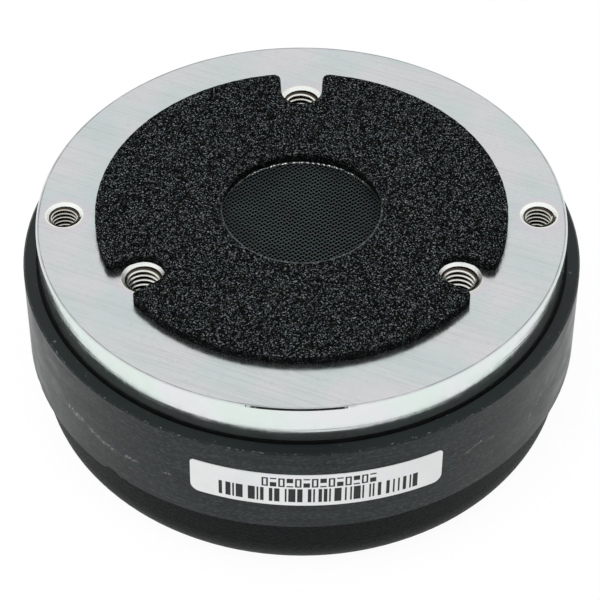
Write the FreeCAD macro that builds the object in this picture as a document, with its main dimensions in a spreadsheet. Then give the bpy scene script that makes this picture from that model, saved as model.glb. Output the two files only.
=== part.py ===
"""Compression driver with a one-inch exit: a ferrite ring motor with a small dome diaphragm.

The driver lies on its rear cover with the horn side up. Z is the axis of the throat, z = 0 is the
plane that it rests on, one of the three M6 holes is at +Y and the terminals are at +Y under the rim.
All sizes are in millimetres and angles in degrees. From the top down it is built as foam gasket,
throat screen, front plate with its pole piece, magnet, gap plate, diaphragm and rear cover.
"""
import FreeCAD
import Part

import math
import os

import Sketcher

DRIVING_SIZES = [
    ("foam_thickness", 2.0, "front gasket of open-cell foam"),
    ("foam_margin", 4.475, "foam outside the circle of the M6 holes"),
    ("foam_corner", 1.3, "rounding where a notch meets the foam's rim"),
    ("notch_clearance", 0.4, "foam's notch, back from its M6 hole"),
    ("notch_spread", 0.3, "notch at the foam's rim, wider on each side than at its end"),
    ("exit_radius", 12.7, "throat exit of 25.4 mm"),
    ("plate_thickness", 7.2, "zinc-plated front plate"),
    ("front_ledge", 2.5, "magnet outside the front plate"),
    ("plate_edge", 0.4, "rounding of the front plate's rims"),
    ("large_thread_radius", 3.0, "M6 holes, nominal radius"),
    ("large_circle_radius", 28.575, "M6 holes, radius of the bolt circle"),
    ("large_bevel", 0.5, "M6 holes, bevel of the mouth"),
    ("small_thread_radius", 2.5, "M5 holes, nominal radius"),
    ("small_inset", 4.5, "middle of the M5 holes, from the plate's rim"),
    ("small_bevel", 0.4, "M5 holes, bevel of the mouth"),
    ("screen_seat", 2.3, "screen outside the throat's exit"),
    ("screen_thickness", 0.4, "thickness of the weave"),
    ("screen_pitch", 2.3, "distance between the gaps of the plain screen"),
    ("screen_gap", 1.5, "width of a gap of the plain screen"),
    ("magnet_radius", 45.1, "outside radius of the ferrite ring"),
    ("collar_air", 3.0, "air between the pole piece's shoulder and the ferrite ring"),
    ("magnet_thickness", 17.0, "height of the ferrite ring"),
    ("magnet_edge", 0.3, "ground edge of the ferrite ring"),
    ("spigot_wall", 2.0, "pole piece, wall of the pressed-in part outside the screen"),
    ("collar_step", 3.0, "pole piece, shoulder outside the pressed-in part"),
    ("collar_height", 3.5, "pole piece, height of the shoulder"),
    ("pole_taper", 6.0, "pole piece, height of the cone under the shoulder"),
    ("pole_neck", 4.0, "pole piece, straight length in front of the gap plate"),
    ("throat_step", 2.3, "throat at the phase plug, inside the plug's seat"),
    ("throat_curve", 110.0, "radius of the throat's flare"),
    ("gap_plate_thickness", 5.0, "steel plate round the magnetic gap"),
    ("magnet_overhang", 4.5, "magnet outside the gap plate"),
    ("running_gap", 0.35, "air on each side of the voice coil"),
    ("coil_bore", 12.65, "inside radius of the voice coil former"),
    ("former_wall", 0.15, "wall of the voice coil former"),
    ("winding_wall", 0.45, "thickness of the winding"),
    ("winding_height", 3.0, "height of the winding"),
    ("former_overrun", 0.6, "former past the winding"),
    ("film", 0.15, "thickness of the diaphragm"),
    ("dome_height", 3.8, "depth of the dome"),
    ("rim_width", 0.5, "flat rim between dome and roll, where the former is bonded"),
    ("roll_width", 3.0, "width of the surround's roll"),
    ("roll_height", 0.8, "depth of the surround's roll"),
    ("flange_width", 3.0, "flat flange outside the roll"),
    ("compression_gap", 0.6, "air between dome and phase plug"),
    ("plug_wall", 0.5, "side of the plug, back from the former's bore"),
    ("pole_lip", 1.5, "wall of the pole piece round the phase plug"),
    ("plug_spigot_height", 5.5, "depth of the plug's seat in the pole piece"),
    ("inner_slot_radius", 4.6, "middle of the inner slot at the dome"),
    ("outer_slot_inset", 2.85, "middle of the outer slot at the dome, from the plug's side"),
    ("inner_slot_top", 2.7, "middle of the inner slot at the throat"),
    ("outer_slot_top_inset", 2.1, "middle of the outer slot at the throat, from the throat's wall"),
    ("slot_width", 0.9, "slot width at the dome"),
    ("slot_width_top", 1.6, "slot width at the throat"),
    ("rib_angle", 18.0, "angle of a rib between two slots"),
    ("ring_lip", 0.7, "thickness of the ring's lip over the diaphragm's flange"),
    ("ring_thickness", 2.2, "thickness of the diaphragm ring"),
    ("ring_share", 0.335, "diaphragm ring, as a share of the gap plate outside its seat"),
    ("ring_clearance", 0.4, "air round the diaphragm's roll and flange"),
    ("ring_hole_share", 0.18, "middle of the ring's holes, as a share of the same width"),
    ("ring_screw_radius", 1.25, "shank of a ring screw"),
    ("ring_screw_depth", 3.4, "ring screw in the gap plate"),
    ("ring_head_radius", 2.4, "head of a ring screw"),
    ("ring_head_height", 1.3, "height of a ring screw's head"),
    ("ring_head_round", 0.5, "bevel of a ring screw's head"),
    ("pin_radius", 1.0, "locating pin"),
    ("pin_depth", 3.0, "locating pin in the gap plate"),
    ("pin_nose", 0.6, "locating pin past the ring"),
    ("dome_air", 0.45, "air between dome and felt"),
    ("skirt_air", 0.3, "air between the gap plate and the cover's skirt"),
    ("cover_corner", 7.0, "rounding between skirt and base"),
    ("cover_wall", 2.4, "wall of the skirt"),
    ("cover_floor", 1.7, "floor of the cover"),
    ("cover_recess", 0.5, "hollow of the base inside its foot"),
    ("foot_inner_radius", 27.5, "inside radius of the foot ring"),
    ("gasket_thickness", 0.6, "seal between skirt and magnet"),
    ("boss_wall", 0.65, "wall of a boss round its screw's head"),
    ("boss_share", 0.61, "middle of a boss, as a share of the gap plate outside the ring's seat"),
    ("cover_screw_radius", 1.5, "shank of a cover screw"),
    ("cover_screw_depth", 3.8, "cover screw in the gap plate"),
    ("cover_screw_air", 0.15, "air round a cover screw's shank"),
    ("cover_head_radius", 2.7, "head of a cover screw"),
    ("cover_head_height", 1.7, "height of a cover screw's head"),
    ("cover_head_sink", 0.9, "head below the foot"),
    ("head_air", 0.25, "air round a cover screw's head"),
    ("socket_radius", 1.3, "hexagon socket, to its corners"),
    ("socket_depth", 0.8, "depth of a hexagon socket"),
    ("pad_radius", 20.0, "felt disc on the cover's floor"),
    ("pad_thickness", 1.0, "thickness of the felt"),
    ("pocket_side", 3.6, "terminal pocket, room beside the positive blade"),
    ("pocket_depth", 6.5, "terminal pocket, depth from the skirt"),
    ("pocket_air", 0.8, "air between the pocket's ceiling and the gap plate"),
    ("pocket_wall", 1.4, "walls round the terminal pocket"),
    ("terminal_spacing", 12.0, "distance between the terminals"),
    ("terminal_height", 2.9, "underside of the blades above the rest plane"),
    ("blade_thickness", 0.8, "thickness of a blade"),
    ("wide_blade", 4.8, "width of the positive blade"),
    ("narrow_blade", 2.8, "width of the negative blade"),
    ("blade_reach", 6.6, "blade outside the pocket's wall"),
    ("blade_point", 0.7, "bevel of a blade's tip"),
    ("shoulder_width", 1.2, "shoulder of a blade, past each side"),
    ("tail_length", 3.2, "blade inside the pocket's wall"),
    ("lead_width", 1.6, "flat lead from ring to terminal"),
    ("lead_thickness", 0.2, "thickness of the lead"),
    ("lead_overlap", 3.4, "lead soldered to the ring"),
    ("lead_setback", 0.6, "lead's bend, inside the ring's rim"),
    ("tail_setback", 0.4, "lead's end, short of the pocket's wall"),
    ("label_half_width", 18.95, "paper label, half width seen square on"),
    ("label_height", 6.9, "height of the label"),
    ("label_drop", 4.8, "top of the label below the magnet's front face"),
    ("label_corner", 1.2, "rounded corner of the label"),
    ("label_paper", 0.2, "thickness of the label"),
    ("label_turn", 3.5, "label's middle, turned from -Y"),
]

LARGE_HOLES = 3
SMALL_HOLES = 2
COVER_SCREWS = 4
RING_SCREWS = 3
LOCATING_PINS = 2
SLOTS_PER_RING = 3
FULL_TURN = 360
CUT_OVERRUN = 1.0
NOTCH_FLARE = 4.0
FIRST_LARGE_HOLE = 90
FIRST_RING_SCREW = 30
FIRST_COVER_SCREW = 45
SCREEN_TURN = 36
CHIPS = [(199.0, 2.6, 0.55), (228.5, 3.4, 0.8), (232.0, 1.8, 0.45)]

doc = FreeCAD.newDocument("CompressionDriver")
sheet = doc.addObject("Spreadsheet::Sheet", "Sizes")
for row, (alias, number, meaning) in enumerate(DRIVING_SIZES, start=1):
    sheet.set(f"A{row}", meaning)
    sheet.set(f"B{row}", str(number))
    sheet.setAlias(f"B{row}", alias)
doc.recompute()

FELT_REAR = "(Sizes.cover_recess + Sizes.cover_floor)"
DOME_REAR = f"({FELT_REAR} + Sizes.pad_thickness + Sizes.dome_air)"
FILM_FRONT = f"({DOME_REAR} + Sizes.film + Sizes.dome_height)"
GAP_REAR = f"({FILM_FRONT} + Sizes.ring_lip)"
MAGNET_REAR = f"({GAP_REAR} + Sizes.gap_plate_thickness)"
MAGNET_FRONT = f"({MAGNET_REAR} + Sizes.magnet_thickness)"
PLATE_FACE = f"({MAGNET_FRONT} + Sizes.plate_thickness)"
RING_REAR = f"({GAP_REAR} - Sizes.ring_thickness)"

PLATE_RADIUS = "(Sizes.magnet_radius - Sizes.front_ledge)"
SMALL_CIRCLE = f"({PLATE_RADIUS} - Sizes.small_inset)"
FOAM_RADIUS = "(Sizes.large_circle_radius + Sizes.foam_margin)"
SCREEN_RADIUS = "(Sizes.exit_radius + Sizes.screen_seat)"
SPIGOT_RADIUS = f"({SCREEN_RADIUS} + Sizes.spigot_wall)"
COLLAR_RADIUS = f"({SPIGOT_RADIUS} + Sizes.collar_step)"
MAGNET_BORE = f"({COLLAR_RADIUS} + Sizes.collar_air)"
POLE_RADIUS = "(Sizes.coil_bore - Sizes.running_gap)"
COIL_RADIUS = "(Sizes.coil_bore + Sizes.former_wall + Sizes.winding_wall)"
GAP_BORE = f"({COIL_RADIUS} + Sizes.running_gap)"
WINDING_REAR = f"({MAGNET_REAR} - (Sizes.gap_plate_thickness + Sizes.winding_height) / 2)"
ROLL_INNER = "(Sizes.coil_bore + Sizes.rim_width)"
ROLL_OUTER = f"({ROLL_INNER} + Sizes.roll_width)"
FLANGE_RADIUS = f"({ROLL_OUTER} + Sizes.flange_width)"
DOME_CURVE = "((Sizes.coil_bore ^ 2 + Sizes.dome_height ^ 2) / (2 * Sizes.dome_height))"
ROLL_CURVE = "((Sizes.roll_width ^ 2 / 4 + Sizes.roll_height ^ 2) / (2 * Sizes.roll_height))"
DOME_CENTRE = f"({FILM_FRONT} - Sizes.dome_height + {DOME_CURVE})"
PLUG_CURVE = f"({DOME_CURVE} - Sizes.compression_gap)"
PLUG_RADIUS = "(Sizes.coil_bore - Sizes.plug_wall)"
PLUG_SPIGOT = f"({POLE_RADIUS} - Sizes.pole_lip)"
THROAT_ENTRY = f"({PLUG_SPIGOT} - Sizes.throat_step)"
PLUG_TIP = f"({DOME_CENTRE} - {PLUG_CURVE})"
PLUG_EDGE = f"({DOME_CENTRE} - sqrt({PLUG_CURVE} ^ 2 - {PLUG_RADIUS} ^ 2))"
PLUG_SEAT = f"({GAP_REAR} + Sizes.plug_spigot_height)"
RING_SEAT = f"({FLANGE_RADIUS} + Sizes.ring_clearance)"
GAP_PLATE_RADIUS = "(Sizes.magnet_radius - Sizes.magnet_overhang)"
REAR_LAND = f"({GAP_PLATE_RADIUS} - {RING_SEAT})"
RING_RADIUS = f"({RING_SEAT} + Sizes.ring_share * {REAR_LAND})"
RING_CIRCLE = f"({RING_SEAT} + Sizes.ring_hole_share * {REAR_LAND})"

SKIRT_INSIDE = f"({GAP_PLATE_RADIUS} + Sizes.skirt_air)"
COVER_RADIUS = f"({SKIRT_INSIDE} + Sizes.cover_wall)"
COVER_RIM = f"({MAGNET_REAR} - Sizes.gasket_thickness)"
BOSS_CIRCLE = f"({RING_SEAT} + Sizes.boss_share * {REAR_LAND})"
HEAD_WAY = "(Sizes.cover_head_radius + Sizes.head_air)"
HEAD_SEAT = "(Sizes.cover_head_sink + Sizes.cover_head_height)"
POCKET_WALL_Y = f"({COVER_RADIUS} - Sizes.pocket_depth)"
POCKET_INSIDE_Y = f"({POCKET_WALL_Y} - Sizes.pocket_wall)"
POCKET_HALF_WIDTH = "(Sizes.terminal_spacing / 2 + Sizes.wide_blade / 2 + Sizes.pocket_side)"
POCKET_CEILING = f"({GAP_REAR} - Sizes.pocket_air - Sizes.pocket_wall)"
TERMINAL_TOP = "(Sizes.terminal_height + Sizes.blade_thickness)"


def value(expression):
    """Number that an expression of the sheet's sizes gives now."""
    return float(sheet.evalExpression(expression))


def body_named(label):
    """Empty body whose label names the piece."""
    body = doc.addObject("PartDesign::Body", label)
    body.Label = label
    return body


def origin_plane(body, role):
    """One of the body's own three origin planes, such as XZ_Plane."""
    return next(feature for feature in body.Origin.OriginFeatures if feature.Role == role)


def sketch_on(body, name, role, height=None):
    """Sketch on an origin plane, lifted to a height that follows the sheet."""
    sketch = body.newObject("Sketcher::SketchObject", name)
    sketch.AttachmentSupport = [(origin_plane(body, role), "")]
    sketch.MapMode = "FlatFace"
    if height is not None:
        sketch.setExpression("AttachmentOffset.Base.z", height)
    doc.recompute()
    return sketch


def arc_between(start, end, radius, side):
    """Arc between two points; side is 1 to bulge to the right of the way from start to end, -1 left.

    It is drawn counterclockwise, as a sketch keeps it, so with side -1 it runs from end to start.
    """
    chord = end - start
    middle = (start + end) / 2
    left = FreeCAD.Vector(-chord.y, chord.x, 0).normalize()
    sagitta_gap = math.sqrt(max(radius ** 2 - (chord.Length / 2) ** 2, 0.0))
    centre = middle + left * sagitta_gap * side
    top = centre - left * radius * side
    if side > 0:
        return Part.Arc(start, top, end)
    return Part.Arc(end, top, start)


def draw_outline(sketch, corners, arcs=None):
    """Closed outline whose corners, pairs of expressions, are bound to the sheet.

    arcs maps the number of a corner to (radius expression, side) for the side that starts there.
    """
    arcs = arcs or {}
    points = [FreeCAD.Vector(value(across), value(up), 0) for across, up in corners]
    count = len(points)
    reversed_arc = {}
    for index, start in enumerate(points):
        end = points[(index + 1) % count]
        if index in arcs:
            radius, side = arcs[index]
            sketch.addGeometry(arc_between(start, end, value(radius), side))
            reversed_arc[index] = side < 0
        else:
            sketch.addGeometry(Part.LineSegment(start, end))
            reversed_arc[index] = False
    for index in range(count):
        before = (index - 1) % count
        end_of_before = 1 if reversed_arc[before] else 2
        start_of_this = 2 if reversed_arc[index] else 1
        joint = Sketcher.Constraint("Coincident", before, end_of_before, index, start_of_this)
        sketch.addConstraint(joint)
    for index, (across, up) in enumerate(corners):
        place = 2 if reversed_arc[index] else 1
        for kind, expression, axis in (("DistanceX", across, -2), ("DistanceY", up, -1)):
            if expression == "0":
                sketch.addConstraint(Sketcher.Constraint("PointOnObject", index, place, axis))
            else:
                number = sketch.addConstraint(
                    Sketcher.Constraint(kind, -1, 1, index, place, value(expression)))
                sketch.setExpression(f"Constraints[{number}]", expression)
    for index, (radius, _side) in arcs.items():
        number = sketch.addConstraint(Sketcher.Constraint("Radius", index, value(radius)))
        sketch.setExpression(f"Constraints[{number}]", radius)


def draw_circle(sketch, across, up, radius):
    """Circle bound to the sheet by its centre and radius."""
    centre = FreeCAD.Vector(value(across), value(up), 0)
    index = sketch.addGeometry(Part.Circle(centre, FreeCAD.Vector(0, 0, 1), value(radius)))
    number = sketch.addConstraint(Sketcher.Constraint("Radius", index, value(radius)))
    sketch.setExpression(f"Constraints[{number}]", radius)
    for kind, expression, axis in (("DistanceX", across, -2), ("DistanceY", up, -1)):
        if expression == "0":
            sketch.addConstraint(Sketcher.Constraint("PointOnObject", index, 3, axis))
        else:
            number = sketch.addConstraint(
                Sketcher.Constraint(kind, -1, 1, index, 3, value(expression)))
            sketch.setExpression(f"Constraints[{number}]", expression)


def turned(body, name, corners, arcs=None, kind="PartDesign::Revolution", angle=FULL_TURN):
    """Solid or groove turned about the Z axis from an outline of (radius, height) corners."""
    sketch = sketch_on(body, name + "Outline", "XZ_Plane")
    draw_outline(sketch, corners, arcs)
    feature = body.newObject(kind, name)
    feature.Profile = sketch
    feature.ReferenceAxis = (sketch, ["V_Axis"])
    feature.Angle = angle
    doc.recompute()
    return feature


def pad(body, name, sketch, length):
    """Pad of a sketch, upwards, to a length that follows the sheet."""
    feature = body.newObject("PartDesign::Pad", name)
    feature.Profile = sketch
    feature.setExpression("Length", length)
    doc.recompute()
    return feature


def pocket_down(body, name, sketch, length):
    """Pocket below a sketch that lies at the top of the cut."""
    feature = body.newObject("PartDesign::Pocket", name)
    feature.Profile = sketch
    feature.setExpression("Length", length)
    doc.recompute()
    return feature


def repeat_round(body, name, features, occurrences):
    """Copies of features at even angles about the Z axis."""
    pattern = body.newObject("PartDesign::PolarPattern", name)
    pattern.Originals = features
    pattern.Axis = (z_axis(body), [""])
    pattern.Angle = FULL_TURN
    pattern.Occurrences = occurrences
    body.Tip = pattern
    doc.recompute()
    return pattern


def z_axis(body):
    """The body's own Z axis."""
    return next(feature for feature in body.Origin.OriginFeatures if feature.Role == "Z_Axis")


def polar(circle, angle):
    """Pair of expressions for a place on a circle of holes."""
    return f"({circle} * cos({angle} deg))", f"({circle} * sin({angle} deg))"


def cutter(name, *objects):
    """One tool made of several cutting solids."""
    tool = doc.addObject("Part::MultiFuse", name)
    tool.Shapes = list(objects)
    return tool


def cut(name, base, tool):
    """Base less tool."""
    result = doc.addObject("Part::Cut", name)
    result.Label = name
    result.Base = base
    result.Tool = tool
    return result


def box(name, low, high):
    """Box between two corners, each a triple of expressions."""
    block = doc.addObject("Part::Box", name)
    for letter, side, start, end in zip("xyz", ("Length", "Width", "Height"), low, high):
        block.setExpression(f"Placement.Base.{letter}", start)
        block.setExpression(side, f"({end}) - ({start})")
    return block


def foam_gasket():
    """Flat foam ring with three notches, open to its rim, that leave the M6 holes clear."""
    body = body_named("foam_gasket")
    ring = sketch_on(body, "FoamRing", "XY_Plane", PLATE_FACE)
    draw_circle(ring, "0", "0", FOAM_RADIUS)
    draw_circle(ring, "0", "0", "Sizes.exit_radius")
    pad(body, "FoamSheet", ring, "Sizes.foam_thickness")
    top = f"({PLATE_FACE} + Sizes.foam_thickness)"
    notch = sketch_on(body, "NotchOutline", "XY_Plane", top)
    past_rim = f"({FOAM_RADIUS} + {CUT_OVERRUN})"
    end = "(Sizes.large_thread_radius + Sizes.notch_clearance)"
    mouth = f"({end} + Sizes.notch_spread)"
    across = f"({end} * cos({NOTCH_FLARE} deg))"
    tangent = f"(Sizes.large_circle_radius - {end} * sin({NOTCH_FLARE} deg))"
    draw_outline(
        notch,
        [(across, tangent), (mouth, past_rim), (f"-{mouth}", past_rim), (f"-{across}", tangent)],
        {3: (end, 1)})
    first = pocket_down(body, "Notch", notch, "Sizes.foam_thickness")
    repeat_round(body, "Notches", [first], LARGE_HOLES)
    notched = body.Tip
    rounding = body.newObject("PartDesign::Fillet", "NotchCorners")
    rounding.Base = (notched, upright_edges(notched.Shape, value(FOAM_RADIUS)))
    rounding.setExpression("Radius", "Sizes.foam_corner")
    body.Tip = rounding
    doc.recompute()
    return body


def upright_edges(shape, radius):
    """Names of the edges that stand upright at a distance from the axis."""
    names = []
    for number, edge in enumerate(shape.Edges, start=1):
        low, high = edge.Vertexes[0].Point, edge.Vertexes[-1].Point
        upright = math.hypot(low.x - high.x, low.y - high.y) < 1e-4 and abs(low.z - high.z) > 1e-4
        if upright and abs(math.hypot(low.x, low.y) - radius) < 1e-3:
            names.append(f"Edge{number}")
    return names


def throat_screen():
    """Round screen in its seat on the pole piece, drawn as a coarse grid of square gaps."""
    body = body_named("throat_screen")
    disc = sketch_on(body, "ScreenDisc", "XY_Plane", f"({PLATE_FACE} - Sizes.screen_thickness)")
    draw_circle(disc, "0", "0", SCREEN_RADIUS)
    pad(body, "ScreenSheet", disc, "Sizes.screen_thickness")
    gaps = sketch_on(body, "ScreenGaps", "XY_Plane", PLATE_FACE)
    pitch, half_gap = value("Sizes.screen_pitch"), value("Sizes.screen_gap") / 2
    reach = value("Sizes.exit_radius")
    steps = int(reach / pitch)
    for column in range(-steps, steps + 1):
        for line in range(-steps, steps + 1):
            corner = math.hypot(abs(column * pitch) + half_gap, abs(line * pitch) + half_gap)
            if corner < reach:
                add_square(gaps, column * pitch, line * pitch, half_gap)
    pocket_down(body, "ScreenMesh", gaps, "Sizes.screen_thickness")
    body.Placement = FreeCAD.Placement(FreeCAD.Vector(), FreeCAD.Rotation(SCREEN_TURN, 0, 0))
    return body


def add_square(sketch, across, up, half):
    """Square gap, drawn about its middle."""
    corners = [FreeCAD.Vector(across + half * a, up + half * b, 0)
               for a, b in ((-1, -1), (1, -1), (1, 1), (-1, 1))]
    for index, corner in enumerate(corners):
        sketch.addGeometry(Part.LineSegment(corner, corners[(index + 1) % 4]))


def front_plate():
    """Round steel plate with five tapped holes; the pole piece is pressed into its bore."""
    body = body_named("front_plate")
    edge = "Sizes.plate_edge"
    inside = f"({PLATE_RADIUS} - {edge})"
    turned(
        body, "PlateDisc",
        [(SPIGOT_RADIUS, MAGNET_FRONT), (inside, MAGNET_FRONT),
         (PLATE_RADIUS, f"({MAGNET_FRONT} + {edge})"), (PLATE_RADIUS, f"({PLATE_FACE} - {edge})"),
         (inside, PLATE_FACE), (SPIGOT_RADIUS, PLATE_FACE)],
        {1: (edge, 1), 3: (edge, 1)})
    holes = [
        ("Large", "Sizes.large_circle_radius", FIRST_LARGE_HOLE, "Sizes.large_thread_radius",
         "Sizes.large_bevel", LARGE_HOLES),
        ("Small", SMALL_CIRCLE, 0, "Sizes.small_thread_radius",
         "Sizes.small_bevel", SMALL_HOLES),
    ]
    for name, circle, angle, radius, bevel, count in holes:
        across, up = polar(circle, angle)
        drill = sketch_on(body, name + "Drill", "XY_Plane", PLATE_FACE)
        draw_circle(drill, across, up, radius)
        bore = pocket_down(body, name + "Bore", drill, "Sizes.plate_thickness")
        repeat_round(body, name + "Bores", [bore], count)
        drilled = body.Tip
        sink = body.newObject("PartDesign::Chamfer", name + "Mouths")
        sink.Base = (drilled, rims(drilled.Shape, value(radius), value(PLATE_FACE)))
        sink.setExpression("Size", bevel)
        body.Tip = sink
        doc.recompute()
    return body


def rims(shape, radius, height):
    """Names of the circles of a radius that lie at a height, away from the axis."""
    names = []
    for number, edge in enumerate(shape.Edges, start=1):
        curve = edge.Curve
        if not isinstance(curve, Part.Circle):
            continue
        off_axis = math.hypot(curve.Center.x, curve.Center.y) > radius
        if off_axis and abs(curve.Radius - radius) < 1e-4 and abs(curve.Center.z - height) < 1e-4:
            names.append(f"Edge{number}")
    return names


def pole_piece():
    """Turned steel pole: spigot in the plate, shoulder behind it, thin end in the magnetic gap."""
    body = body_named("pole_piece")
    collar_rear = f"({MAGNET_FRONT} - Sizes.collar_height)"
    taper_rear = f"({collar_rear} - Sizes.pole_taper)"
    screen_seat = f"({PLATE_FACE} - Sizes.screen_thickness)"
    neck_front = f"({MAGNET_REAR} + Sizes.pole_neck)"
    turned(
        body, "PoleForm",
        [(POLE_RADIUS, GAP_REAR), (POLE_RADIUS, neck_front), (SPIGOT_RADIUS, taper_rear),
         (COLLAR_RADIUS, collar_rear), (COLLAR_RADIUS, MAGNET_FRONT),
         (SPIGOT_RADIUS, MAGNET_FRONT), (SPIGOT_RADIUS, PLATE_FACE),
         (SCREEN_RADIUS, PLATE_FACE), (SCREEN_RADIUS, screen_seat),
         ("Sizes.exit_radius", screen_seat), (THROAT_ENTRY, PLUG_SEAT),
         (PLUG_SPIGOT, PLUG_SEAT), (PLUG_SPIGOT, GAP_REAR)],
        {9: ("Sizes.throat_curve", 1)})
    return body


def ferrite_magnet():
    """Sintered ring with ground edges and small chips out of its rear edge."""
    ring = doc.addObject("PartDesign::Body", "FerriteRing")
    edge = "Sizes.magnet_edge"
    rim = "Sizes.magnet_radius"
    turned(
        ring, "RingForm",
        [(MAGNET_BORE, MAGNET_REAR), (f"({rim} - {edge})", MAGNET_REAR),
         (rim, f"({MAGNET_REAR} + {edge})"), (rim, f"({MAGNET_FRONT} - {edge})"),
         (f"({rim} - {edge})", MAGNET_FRONT), (MAGNET_BORE, MAGNET_FRONT)])
    spalls = []
    for number, (angle, radius, bite) in enumerate(CHIPS, start=1):
        spall = doc.addObject("Part::Sphere", f"Chip{number}")
        spall.Radius = radius
        stand_off = (radius - bite) / math.sqrt(2)
        spall.setExpression("Placement.Base.x", f"({rim} + {stand_off}) * cos({angle} deg)")
        spall.setExpression("Placement.Base.y", f"({rim} + {stand_off}) * sin({angle} deg)")
        spall.setExpression("Placement.Base.z", f"{MAGNET_REAR} - {stand_off}")
        spalls.append(spall)
    return cut("ferrite_magnet", ring, cutter("Chips", *spalls))


def gap_plate():
    """Steel ring behind the magnet, whose bore is the outer wall of the magnetic gap."""
    body = body_named("gap_plate")
    turned(
        body, "GapRing",
        [(GAP_BORE, GAP_REAR), (GAP_PLATE_RADIUS, GAP_REAR),
         (GAP_PLATE_RADIUS, MAGNET_REAR), (GAP_BORE, MAGNET_REAR)])
    blind_holes = [
        ("RingScrew", RING_CIRCLE, FIRST_RING_SCREW, "Sizes.ring_screw_radius",
         "Sizes.ring_screw_depth", RING_SCREWS),
        ("Pin", RING_CIRCLE, 0, "Sizes.pin_radius", "Sizes.pin_depth", LOCATING_PINS),
        ("CoverScrew", BOSS_CIRCLE, FIRST_COVER_SCREW, "Sizes.cover_screw_radius",
         "Sizes.cover_screw_depth", COVER_SCREWS),
    ]
    for name, circle, angle, radius, depth, count in blind_holes:
        across, up = polar(circle, angle)
        drill = sketch_on(body, name + "Drill", "XY_Plane", f"({GAP_REAR} + {depth})")
        draw_circle(drill, across, up, radius)
        bore = pocket_down(body, name + "Bore", drill, depth)
        repeat_round(body, name + "Bores", [bore], count)
    return body


def phase_plug():
    """Moulded plug that follows the dome, with two rings of slots that lead to the throat."""
    body = body_named("phase_plug")
    turned(
        body, "PlugForm",
        [("0", PLUG_TIP), (PLUG_RADIUS, PLUG_EDGE), (PLUG_RADIUS, GAP_REAR),
         (PLUG_SPIGOT, GAP_REAR), (PLUG_SPIGOT, PLUG_SEAT), ("0", PLUG_SEAT)],
        {0: (PLUG_CURVE, 1)})
    slots = []
    span = f"({FULL_TURN} / {SLOTS_PER_RING} - Sizes.rib_angle)"
    outer_slot = f"({PLUG_RADIUS} - Sizes.outer_slot_inset)"
    outer_slot_top = f"({THROAT_ENTRY} - Sizes.outer_slot_top_inset)"
    low = f"({PLUG_TIP} - Sizes.compression_gap / 2)"
    for name, radius, top_radius in (
            ("InnerSlot", "Sizes.inner_slot_radius", "Sizes.inner_slot_top"),
            ("OuterSlot", outer_slot, outer_slot_top)):
        slot = turned(
            body, name,
            [(f"({radius} - Sizes.slot_width / 2)", low), (f"({radius} + Sizes.slot_width / 2)", low),
             (f"({top_radius} + Sizes.slot_width_top / 2)", PLUG_SEAT),
             (f"({top_radius} - Sizes.slot_width_top / 2)", PLUG_SEAT)],
            kind="PartDesign::Groove", angle=value(span))
        slot.setExpression("Angle", span)
        slots.append(slot)
    repeat_round(body, "Slots", slots, SLOTS_PER_RING)
    return body


def diaphragm():
    """One formed film: dome, flat rim, rolled surround and flange."""
    body = body_named("diaphragm")
    rear = f"({FILM_FRONT} - Sizes.film)"
    tip = f"({FILM_FRONT} - Sizes.dome_height)"
    turned(
        body, "FilmForm",
        [("0", tip), ("Sizes.coil_bore", FILM_FRONT), (ROLL_INNER, FILM_FRONT),
         (ROLL_OUTER, FILM_FRONT), (FLANGE_RADIUS, FILM_FRONT), (FLANGE_RADIUS, rear),
         (ROLL_OUTER, rear), (ROLL_INNER, rear), ("Sizes.coil_bore", rear),
         ("0", f"({tip} - Sizes.film)")],
        {0: (DOME_CURVE, 1), 2: (ROLL_CURVE, 1), 6: (ROLL_CURVE, -1), 8: (DOME_CURVE, -1)})
    return body


def voice_coil_former():
    """Thin tube bonded to the rim of the dome."""
    body = body_named("voice_coil_former")
    outside = "(Sizes.coil_bore + Sizes.former_wall)"
    front = f"({WINDING_REAR} + Sizes.winding_height + Sizes.former_overrun)"
    turned(
        body, "FormerTube",
        [("Sizes.coil_bore", FILM_FRONT), (outside, FILM_FRONT), (outside, front),
         ("Sizes.coil_bore", front)])
    return body


def voice_coil():
    """Winding round the former, in the middle of the magnetic gap."""
    body = body_named("voice_coil")
    inside = "(Sizes.coil_bore + Sizes.former_wall)"
    front = f"({WINDING_REAR} + Sizes.winding_height)"
    turned(
        body, "Winding",
        [(inside, WINDING_REAR), (COIL_RADIUS, WINDING_REAR), (COIL_RADIUS, front),
         (inside, front)])
    return body


def diaphragm_ring():
    """Moulded ring that clamps the diaphragm's flange and holds the two lead ends."""
    body = body_named("diaphragm_ring")
    lip_inner = f"({ROLL_OUTER} + Sizes.ring_clearance)"
    turned(
        body, "RingSection",
        [(lip_inner, FILM_FRONT), (RING_SEAT, FILM_FRONT), (RING_SEAT, RING_REAR),
         (RING_RADIUS, RING_REAR), (RING_RADIUS, GAP_REAR), (lip_inner, GAP_REAR)])
    holes = [("ScrewWay", FIRST_RING_SCREW, "Sizes.ring_screw_radius", RING_SCREWS),
             ("PinWay", 0, "Sizes.pin_radius", LOCATING_PINS)]
    for name, angle, radius, count in holes:
        across, up = polar(RING_CIRCLE, angle)
        drill = sketch_on(body, name + "Drill", "XY_Plane", GAP_REAR)
        draw_circle(drill, across, up, radius)
        bore = pocket_down(body, name, drill, "Sizes.ring_thickness")
        repeat_round(body, name + "s", [bore], count)
    return body


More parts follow.
